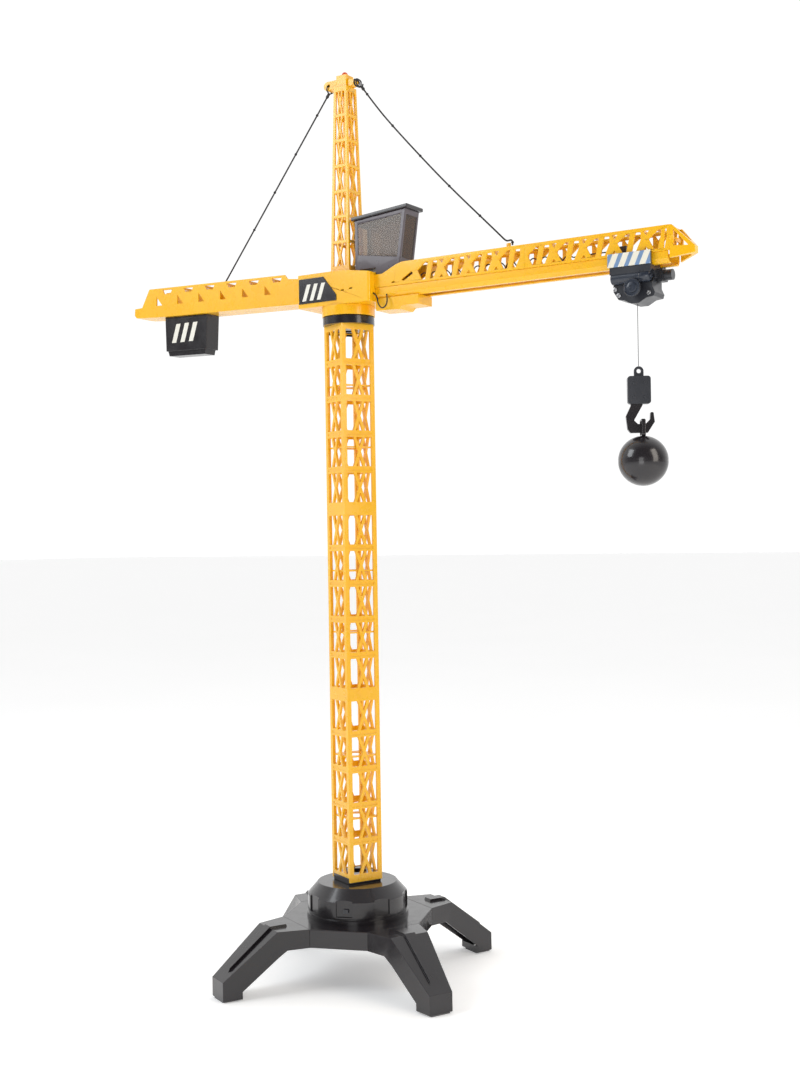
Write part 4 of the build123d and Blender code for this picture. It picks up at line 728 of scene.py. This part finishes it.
def add_camera(stage):
    """The camera, level and turned towards the crane, with a slight roll."""
    data = bpy.data.cameras.new("Camera")
    data.sensor_fit = "VERTICAL"
    data.sensor_height = 36.0
    data.lens = stage.lens
    data.shift_y = CAMERA_RISE
    camera = bpy.data.objects.new("Camera", data)
    right = Vector((cos(CAMERA_AZIMUTH), sin(CAMERA_AZIMUTH), 0))
    ahead = Vector((-sin(CAMERA_AZIMUTH), cos(CAMERA_AZIMUTH), 0))
    up = Vector((0, 0, 1))
    across = right * cos(CAMERA_ROLL) - up * sin(CAMERA_ROLL)
    upward = right * sin(CAMERA_ROLL) + up * cos(CAMERA_ROLL)
    turn = Matrix((across, upward, -ahead)).transposed().to_4x4()
    camera.matrix_world = Matrix.Translation(CAMERA_PLACE) @ turn
    bpy.context.scene.collection.objects.link(camera)
    bpy.context.scene.camera = camera


def soft_box(name, place, target, size, power, colour=(1, 1, 1)):
    """A large oblong lamp pointing at a target."""
    data = bpy.data.lights.new(name, "AREA")
    data.shape = "RECTANGLE"
    data.size = size[0]
    data.size_y = size[1]
    data.energy = power
    data.color = colour
    lamp = bpy.data.objects.new(name, data)
    aim = (Vector(target) - Vector(place)).to_track_quat("-Z", "Y").to_matrix().to_4x4()
    lamp.matrix_world = Matrix.Translation(Vector(place)) @ aim
    bpy.context.scene.collection.objects.link(lamp)


def add_floor():
    """A wide pale floor."""
    form = bmesh.new()
    bmesh.ops.create_grid(form, x_segments=2, y_segments=2, size=40.0)
    mesh = bpy.data.meshes.new("floor")
    form.to_mesh(mesh)
    form.free()
    material, tree, shader = start_material("pale_floor")
    tint = spread(tree, noise(tree, 1.5, 2.0), 0.0, 1.0)
    colour = blend_colours(tree, tint, (0.94, 0.94, 0.94), (0.92, 0.92, 0.92))
    tree.links.new(colour, shader.inputs["Base Color"])
    shader.inputs["Roughness"].default_value = 0.8
    shader.inputs["Specular IOR Level"].default_value = 0.1
    shader.inputs["Emission Color"].default_value = (1, 1, 1, 1)
    shader.inputs["Emission Strength"].default_value = FLOOR_GLOW
    floor = new_piece("floor", mesh, material)


def add_surround(stage):
    """A bright sweep behind the crane and a dim room on the camera's side."""
    world = bpy.data.worlds.new("surround")
    world.use_nodes = True
    tree = world.node_tree
    background = tree.nodes["Background"]
    heading = tree.nodes.new("ShaderNodeTexCoord")
    facing = tree.nodes.new("ShaderNodeVectorMath")
    facing.operation = "DOT_PRODUCT"
    facing.inputs[1].default_value = (-sin(CAMERA_AZIMUTH), cos(CAMERA_AZIMUTH), 0.35)
    tree.links.new(heading.outputs["Generated"], facing.inputs[0])
    ranging = tree.nodes.new("ShaderNodeMapRange")
    ranging.interpolation_type = "SMOOTHSTEP"
    ranging.inputs["From Min"].default_value = -0.35
    ranging.inputs["From Max"].default_value = 0.65
    ranging.inputs["To Min"].default_value = ROOM_GLOW
    ranging.inputs["To Max"].default_value = stage.sky
    tree.links.new(facing.outputs["Value"], ranging.inputs["Value"])
    background.inputs["Color"].default_value = (1.0, 1.0, 1.0, 1)
    tree.links.new(ranging.outputs["Result"], background.inputs["Strength"])
    bpy.context.scene.world = world
    bpy.context.scene.view_settings.view_transform = "Standard"


class CRANE_OT_stage(bpy.types.Operator):
    """Floor, surround, soft boxes and camera"""

    bl_idname = "crane.stage"
    bl_label = "Stage"

    def execute(self, context):
        _, _, stage = settings()
        add_floor()
        add_surround(stage)
        soft_box("key", (-1.5, -1.9, 2.2), LAMP_TARGET, (1.3, 1.6), stage.key, (0.93, 0.97, 1.0))
        soft_box("fill", (2.3, -0.3, 1.5), LAMP_TARGET, (0.9, 1.8), stage.fill, (1.0, 0.93, 0.84))
        soft_box("front", (1.0, -2.4, 0.5), LAMP_TARGET, (0.9, 1.2), stage.front)
        add_camera(stage)
        return {"FINISHED"}


# ================================================================ cords
def beads_on(name, points, pitch, material, body):
    """Small round beads spaced along a cord, made with a node tree."""
    line = bpy.data.meshes.new(name)
    steps = [(count, count + 1) for count in range(len(points) - 1)]
    line.from_pydata([tuple(point) for point in points], steps, [])
    piece = bpy.data.objects.new(name, line)
    bpy.context.scene.collection.objects.link(piece)
    tree = bpy.data.node_groups.new(f"{name}_tree", "GeometryNodeTree")
    tree.interface.new_socket("Geometry", in_out="INPUT", socket_type="NodeSocketGeometry")
    pitch_socket = tree.interface.new_socket("Pitch", in_out="INPUT", socket_type="NodeSocketFloat")
    size_socket = tree.interface.new_socket("Bead radius", in_out="INPUT", socket_type="NodeSocketFloat")
    tree.interface.new_socket("Geometry", in_out="OUTPUT", socket_type="NodeSocketGeometry")
    entry = tree.nodes.new("NodeGroupInput")
    leave = tree.nodes.new("NodeGroupOutput")
    to_curve = tree.nodes.new("GeometryNodeMeshToCurve")
    spaced = tree.nodes.new("GeometryNodeResampleCurve")
    spaced.mode = "LENGTH"
    to_points = tree.nodes.new("GeometryNodeCurveToPoints")
    to_points.mode = "EVALUATED"
    bead = tree.nodes.new("GeometryNodeMeshUVSphere")
    bead.inputs["Segments"].default_value = 14
    bead.inputs["Rings"].default_value = 8
    placed = tree.nodes.new("GeometryNodeInstanceOnPoints")
    real = tree.nodes.new("GeometryNodeRealizeInstances")
    painted = tree.nodes.new("GeometryNodeSetMaterial")
    painted.inputs["Material"].default_value = material
    link = tree.links.new
    link(entry.outputs["Geometry"], to_curve.inputs["Mesh"])
    link(to_curve.outputs["Curve"], spaced.inputs["Curve"])
    link(entry.outputs["Pitch"], spaced.inputs["Length"])
    link(spaced.outputs["Curve"], to_points.inputs["Curve"])
    link(to_points.outputs["Points"], placed.inputs["Points"])
    link(entry.outputs["Bead radius"], bead.inputs["Radius"])
    link(bead.outputs["Mesh"], placed.inputs["Instance"])
    link(to_points.outputs["Rotation"], placed.inputs["Rotation"])
    link(placed.outputs["Instances"], real.inputs["Geometry"])
    link(real.outputs["Geometry"], painted.inputs["Geometry"])
    link(painted.outputs["Geometry"], leave.inputs["Geometry"])
    adding = piece.modifiers.new("Beads", "NODES")
    adding.node_group = tree
    adding[pitch_socket.identifier] = pitch
    adding[size_socket.identifier] = BEAD_RADIUS
    settle(piece)
    piece.data.shade_smooth()
    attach(piece, body)
    return piece


def rounded_run(points, share=0.3, steps=4):
    """Points along a run with its corners rounded."""
    places = [Vector(point) for point in points]
    run = [places[0]]
    for before, here, after in zip(places, places[1:], places[2:]):
        start = here.lerp(before, share)
        end = here.lerp(after, share)
        for step in range(steps + 1):
            along = step / steps
            run.append(start.lerp(here, along).lerp(here.lerp(end, along), along))
    run.append(places[-1])
    return run


def rear_fixings():
    """The loop through the crosshead's hole, and the hook at the foot, of the rear stay."""
    loop = [
        (-0.0262, 0, 1.1948),
        (-0.0252, -0.0078, 1.1985),
        (-0.0234, -0.0078, 1.2040),
        (-0.0230, 0, 1.2040),
    ]
    mirrored = [(x, -y, z) for x, y, z in reversed(loop[:-1])]
    hook = [
        (-0.2205, 0, 0.9494),
        (-0.2225, -0.0026, 0.9450),
        (-0.2248, -0.0027, 0.9400),
        (-0.2262, -0.0024, 0.9340),
    ]
    return [(rounded_run(loop + mirrored), 0.0009), (rounded_run(hook), 0.0011)]


def front_fixings():
    """Turns of the front stay round the tapering arm of the crosshead."""
    per_turn = 20
    squareness = 0.55
    path = []
    for step in range(ARM_TURNS * per_turn + 1):
        angle = 2 * pi * step / per_turn
        wide, high = cos(angle), sin(angle)
        square = max(abs(wide), abs(high)) ** squareness
        x = ARM_X + TURN_PITCH * step / per_turn
        path.append(Vector((x, ARM_HALF_WIDTH * wide / square, ARM_Z + ARM_HALF_HEIGHT * high / square)))
    return [(path, 0.0010)]


def knot(name, place, direction, material):
    """A tight knot on a stay."""
    return new_piece(name, lathe_mesh(name, KNOT_PROFILE, place, direction, 18), material)


def lay_stay(name, route, fixings):
    """One stay with its beads, knot and fixings."""
    _, sizes, _ = settings()
    material = cord_black()
    points = polyline_of(route)
    cord = cord_curve(f"{name}_cord", route, STAY_DIAMETER, material, [name], "upper_works")
    fittings = [beads_on(f"{name}_beads", points[2:-6], sizes.bead_pitch, material, "upper_works")]
    lead = (points[3] - points[0]).normalized()
    fittings.append(knot(f"{name}_knot", points[0] + 0.003 * lead, lead, material))
    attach(fittings[-1], "upper_works")
    for count, (path, radius) in enumerate(fixings):
        label = f"{name}_fixing_{count}"
        fixing = new_piece(label, tube_mesh(label, path, radius, 8), material)
        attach(fixing, "upper_works")
        fittings.append(fixing)


class CRANE_OT_stays(bpy.types.Operator):
    """Front and rear stays"""

    bl_idname = "crane.stays"
    bl_label = "Stays"

    def execute(self, context):
        lay_stay("rear_stay", REAR_STAY, rear_fixings())
        lay_stay("front_stay", FRONT_STAY, front_fixings())
        return {"FINISHED"}


class CRANE_OT_cable_loop(bpy.types.Operator):
    """Cable between the turret and the drive box"""

    bl_idname = "crane.cable_loop"
    bl_label = "Cable loop"

    def execute(self, context):
        points = polyline_of(CABLE_LOOP)
        cord = cord_curve(
            "cable_loop_lead", CABLE_LOOP, LOOP_DIAMETER, cord_black(), ["cable_loop"], "upper_works",
        )
        return {"FINISHED"}


class CRANE_OT_trolley_cable(bpy.types.Operator):
    """Curly cable from the turret to the trolley"""

    bl_idname = "crane.trolley_cable"
    bl_label = "Trolley cable"

    def execute(self, context):
        _, sizes, _ = settings()
        spine = polyline_of(TROLLEY_CABLE)
        points = curly_points(spine, COIL_END, sizes.coil_turns, CURL_RADIUS)
        mesh = tube_mesh("trolley_cable_curl", points, CURL_DIAMETER / 2, 8)
        cable = new_piece("trolley_cable_curl", mesh, cord_black())
        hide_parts("trolley_cable_coil", "trolley_cable_lead")
        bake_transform(cable)
        return {"FINISHED"}


def curly_points(spine, coil_end, turns, radius):
    """A helix about the start of a line, drawing in to the line itself at its end."""
    total = [0.0]
    for a, b in zip(spine, spine[1:]):
        total.append(total[-1] + (b - a).length)
    coil_length = coil_end - spine[0].x
    per_turn = 14
    lead_steps = 6
    steps = turns * per_turn
    points = []
    for step in range(steps + 1):
        share = step / steps
        along = share * coil_length
        here = point_along(spine, total, along)
        swell = radius * min(1.0, 8 * share, 8 * (1 - share))
        angle = 2 * pi * turns * share
        points.append(here + Vector((0, swell * sin(angle), swell * cos(angle))))
    end = spine[-1]
    start = points[-1]
    for step in range(1, lead_steps + 1):
        points.append(start.lerp(end, step / lead_steps))
    return points


def point_along(points, total, distance):
    """The point at a distance along points."""
    for count in range(1, len(points)):
        if total[count] >= distance:
            span = total[count] - total[count - 1]
            share = (distance - total[count - 1]) / span if span else 0
            return points[count - 1].lerp(points[count], share)
    return points[-1].copy()


class CRANE_OT_hoist_string(bpy.types.Operator):
    """String between the winch and the hook block"""

    bl_idname = "crane.hoist_string"
    bl_label = "Hoist string"

    def execute(self, context):
        top = Vector((TROLLEY_X, 0, STRING_TOP))
        foot = Vector((TROLLEY_X, 0, STRING_FOOT))
        steps = 12
        points = [top.lerp(foot, step / steps) for step in range(steps + 1)]
        mesh = tube_mesh("hoist_string_line", points, STRING_DIAMETER / 2, 8)
        line = new_piece("hoist_string_line", mesh, cord_black())
        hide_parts("hoist_string")
        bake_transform(line)
        return {"FINISHED"}


# ================================================================ pieces
def soften(names, material, edge, segments=2):
    """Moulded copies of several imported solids."""
    for name in names:
        moulded(name, material, edge, segments)


class CRANE_OT_stand(bpy.types.Operator):
    """Legs, plate, hub and what is inside them"""

    bl_idname = "crane.stand"
    bl_label = "Stand"

    def execute(self, context):
        soften(["leg_front", "leg_right", "leg_rear", "leg_left"], black_plastic(), 1.2 * MM, 3)
        soften(["base_plate", "hub_dome", "mast_socket", "slew_ring"], black_plastic(), 0.8 * MM, 3)
        paint_node("foot_pads", pad_rubber())
        paint_node("battery_box", satin_black())
        paint_node("battery_door", black_plastic())
        paint_node("batteries", screw_steel())
        paint_node("base_screws", screw_steel())
        paint_node("power_switch", satin_black())
        return {"FINISHED"}


class CRANE_OT_mast(bpy.types.Operator):
    """The three lengths of mast"""

    bl_idname = "crane.mast"
    bl_label = "Mast"

    def execute(self, context):
        _, sizes, _ = settings()
        names = ["mast_section_lower", "mast_section_middle", "mast_section_upper"]
        soften(names, yellow_plastic(), sizes.fine_edge)
        return {"FINISHED"}


class CRANE_OT_turret(bpy.types.Operator):
    """Turret, its badge and the slewing drive"""

    bl_idname = "crane.turret"
    bl_label = "Turret"

    def execute(self, context):
        _, sizes, _ = settings()
        names = ["turret_housing_left", "turret_housing_right", "turret_neck", "drive_box"]
        soften(names, yellow_plastic(), sizes.edge, 3)
        soften(["emblem_plates"], black_plastic(), 0.25 * MM)
        add_bars("badge_bars", **TURRET_BARS)
        paint_node("slew_gear", white_gear_plastic())
        paint_node("slew_pinion", white_gear_plastic())
        paint_node("slew_motor", satin_black())
        paint_node("receiver_board", satin_black())
        return {"FINISHED"}


class CRANE_OT_head(bpy.types.Operator):
    """Tower head, crosshead and beacon"""

    bl_idname = "crane.head"
    bl_label = "Tower head"

    def execute(self, context):
        _, sizes, _ = settings()
        soften(["tower_head"], yellow_plastic(), sizes.fine_edge)
        soften(["crosshead"], yellow_plastic(), 0.8 * MM, 3)
        soften(["beacon_lens"], lens_plastic(), 0.2 * MM)
        return {"FINISHED"}


class CRANE_OT_jib(bpy.types.Operator):
    """Jib, its rails and nose"""

    bl_idname = "crane.jib"
    bl_label = "Jib"

    def execute(self, context):
        _, sizes, _ = settings()
        soften(["jib_section_inner", "jib_section_outer", "jib_nose"], yellow_plastic(), sizes.edge)
        soften(["jib_rails"], yellow_plastic(), sizes.edge)
        return {"FINISHED"}


class CRANE_OT_cab(bpy.types.Operator):
    """Cab with its smoked panes and roof"""

    bl_idname = "crane.cab"
    bl_label = "Cab"

    def execute(self, context):
        _, sizes, _ = settings()
        soften(["cab_shell"], cab_frame_plastic(), sizes.edge)
        soften(["cab_roof"], black_plastic(), 1.0 * MM, 3)
        soften(["cab_panes"], smoked_glass(), 0.15 * MM)
        return {"FINISHED"}


class CRANE_OT_counter_jib(bpy.types.Operator):
    """Counter-jib and counterweight"""

    bl_idname = "crane.counter_jib"
    bl_label = "Counter-jib"

    def execute(self, context):
        _, sizes, _ = settings()
        soften(["counter_jib"], yellow_plastic(), sizes.edge)
        soften(["counterweight", "counterweight_lid"], black_plastic(), 0.6 * MM, 3)
        add_bars("weight_bars", **WEIGHT_BARS)
        paint_node("ballast", screw_steel())
        return {"FINISHED"}


class CRANE_OT_trolley(bpy.types.Operator):
    """Trolley with its motors and winch"""

    bl_idname = "crane.trolley"
    bl_label = "Trolley"

    def execute(self, context):
        _, sizes, _ = settings()
        soften(["trolley_frame", "hoist_gearbox", "hoist_motor"], satin_black(), sizes.edge, 3)
        soften(["stripe_plates"], striped_plate(), 0.3 * MM)
        soften(["trolley_screws"], screw_steel(), 0.2 * MM)
        add_motor_can()
        add_cover_rings()
        paint_node("wheel_axle_rear", white_gear_plastic())
        paint_node("wheel_axle_front", white_gear_plastic())
        paint_node("winch_drum", white_gear_plastic())
        return {"FINISHED"}


def add_motor_can():
    """The travel motor's can, with its end cap and nose."""
    low, high = (Vector(corner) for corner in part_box("travel_motor"))
    middle = (low + high) / 2
    start = Vector((low.x, middle.y, middle.z))
    outline = [  # (radius, distance along the can), in mm
        (0, 0), (6.3, 0), (6.9, 0.6), (6.9, 36.0), (6.4, 36.4), (6.4, 37.6), (6.9, 38.0), (6.9, 46.6),
        (5.8, 48.3), (3.0, 48.5), (2.8, 50.3), (0, 50.3),
    ]
    profile = [(radius * MM, along * MM) for radius, along in outline]
    mesh = lathe_mesh("travel_motor_can", profile, start, Vector((1, 0, 0)), 40)
    set_smooth_under(mesh, SHARP_OVER)
    can = new_piece("travel_motor_can", mesh, motor_blue())
    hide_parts("travel_motor")
    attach(can, "trolley")


def add_cover_rings():
    """Raised rings on the round cover of the winch."""
    outline = [  # (radius, distance outwards), in mm
        (0, -0.4), (10.2, -0.4), (10.2, 0.3), (9.6, 0.8), (8.9, 0.8), (8.4, 0.15), (6.4, 0.15), (5.9, 0.9),
        (5.2, 1.1), (2.4, 1.1), (2.0, 0.5), (0, 0.5),
    ]
    profile = [(radius * MM, along * MM) for radius, along in outline]
    mesh = lathe_mesh("winch_cover_rings", profile, Vector(WINCH_COVER), Vector((0, -1, 0)), 56)
    set_smooth_under(mesh, SHARP_OVER)
    rings = new_piece("winch_cover_rings", mesh, motor_blue())
    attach(rings, "trolley")


class CRANE_OT_hook(bpy.types.Operator):
    """Hook block, hook and ball"""

    bl_idname = "crane.hook"
    bl_label = "Hook and ball"

    def execute(self, context):
        soften(["hook_block"], satin_black(), 0.8 * MM, 3)
        soften(["hook"], black_plastic(), 1.2 * MM, 3)
        soften(["hook_rivets"], satin_black(), 0.3 * MM)
        soften(["ball_loop"], black_plastic(), 1.0 * MM, 3)
        add_ball()
        return {"FINISHED"}


def add_ball():
    """The ball, with a faint parting line round its middle."""
    low, high = (Vector(corner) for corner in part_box("wrecking_ball"))
    centre = (low + high) / 2
    profile = []
    steps = 48
    for step in range(steps + 1):
        angle = -pi / 2 + pi * step / steps
        reach = BALL_RADIUS - PARTING_DEPTH if step == steps // 2 else BALL_RADIUS
        profile.append((reach * cos(angle) if 0 < step < steps else 0.0, reach * sin(angle)))
    mesh = lathe_mesh("wrecking_ball_shell", profile, centre, steps=96)
    ball = new_piece("wrecking_ball_shell", mesh, black_plastic())
    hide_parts("wrecking_ball")
    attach(ball, "ball")


# ================================================================ panel and run
OPERATORS = [
    CRANE_OT_stage,
    CRANE_OT_stays,
    CRANE_OT_cable_loop,
    CRANE_OT_trolley_cable,
    CRANE_OT_hoist_string,
    CRANE_OT_stand,
    CRANE_OT_mast,
    CRANE_OT_turret,
    CRANE_OT_head,
    CRANE_OT_jib,
    CRANE_OT_cab,
    CRANE_OT_counter_jib,
    CRANE_OT_trolley,
    CRANE_OT_hook,
]


class CRANE_PT_panel(bpy.types.Panel):
    """Steps of the finish model"""

    bl_label = "Crane"
    bl_idname = "CRANE_PT_panel"
    bl_space_type = "VIEW_3D"
    bl_region_type = "UI"
    bl_category = "Crane"

    def draw(self, context):
        for operator in OPERATORS:
            self.layout.operator(operator.bl_idname)


GROUPS = [("crane_colours", CraneColours), ("crane_sizes", CraneSizes), ("crane_stage", CraneStage)]


def register():
    """Add the settings, operators and panel."""
    for name, group in GROUPS:
        bpy.utils.register_class(group)
        setattr(bpy.types.Scene, name, PointerProperty(type=group))
    for operator in OPERATORS:
        bpy.utils.register_class(operator)
    bpy.utils.register_class(CRANE_PT_panel)


def unregister():
    """Take them away again."""
    bpy.utils.unregister_class(CRANE_PT_panel)
    for operator in reversed(OPERATORS):
        bpy.utils.unregister_class(operator)
    for name, group in reversed(GROUPS):
        delattr(bpy.types.Scene, name)
        bpy.utils.unregister_class(group)


def main():
    """Build every piece in order."""
    register()
    for operator in OPERATORS:
        group, action = operator.bl_idname.split(".")
        getattr(getattr(bpy.ops, group), action)()


if __name__ == "__main__":
    main()
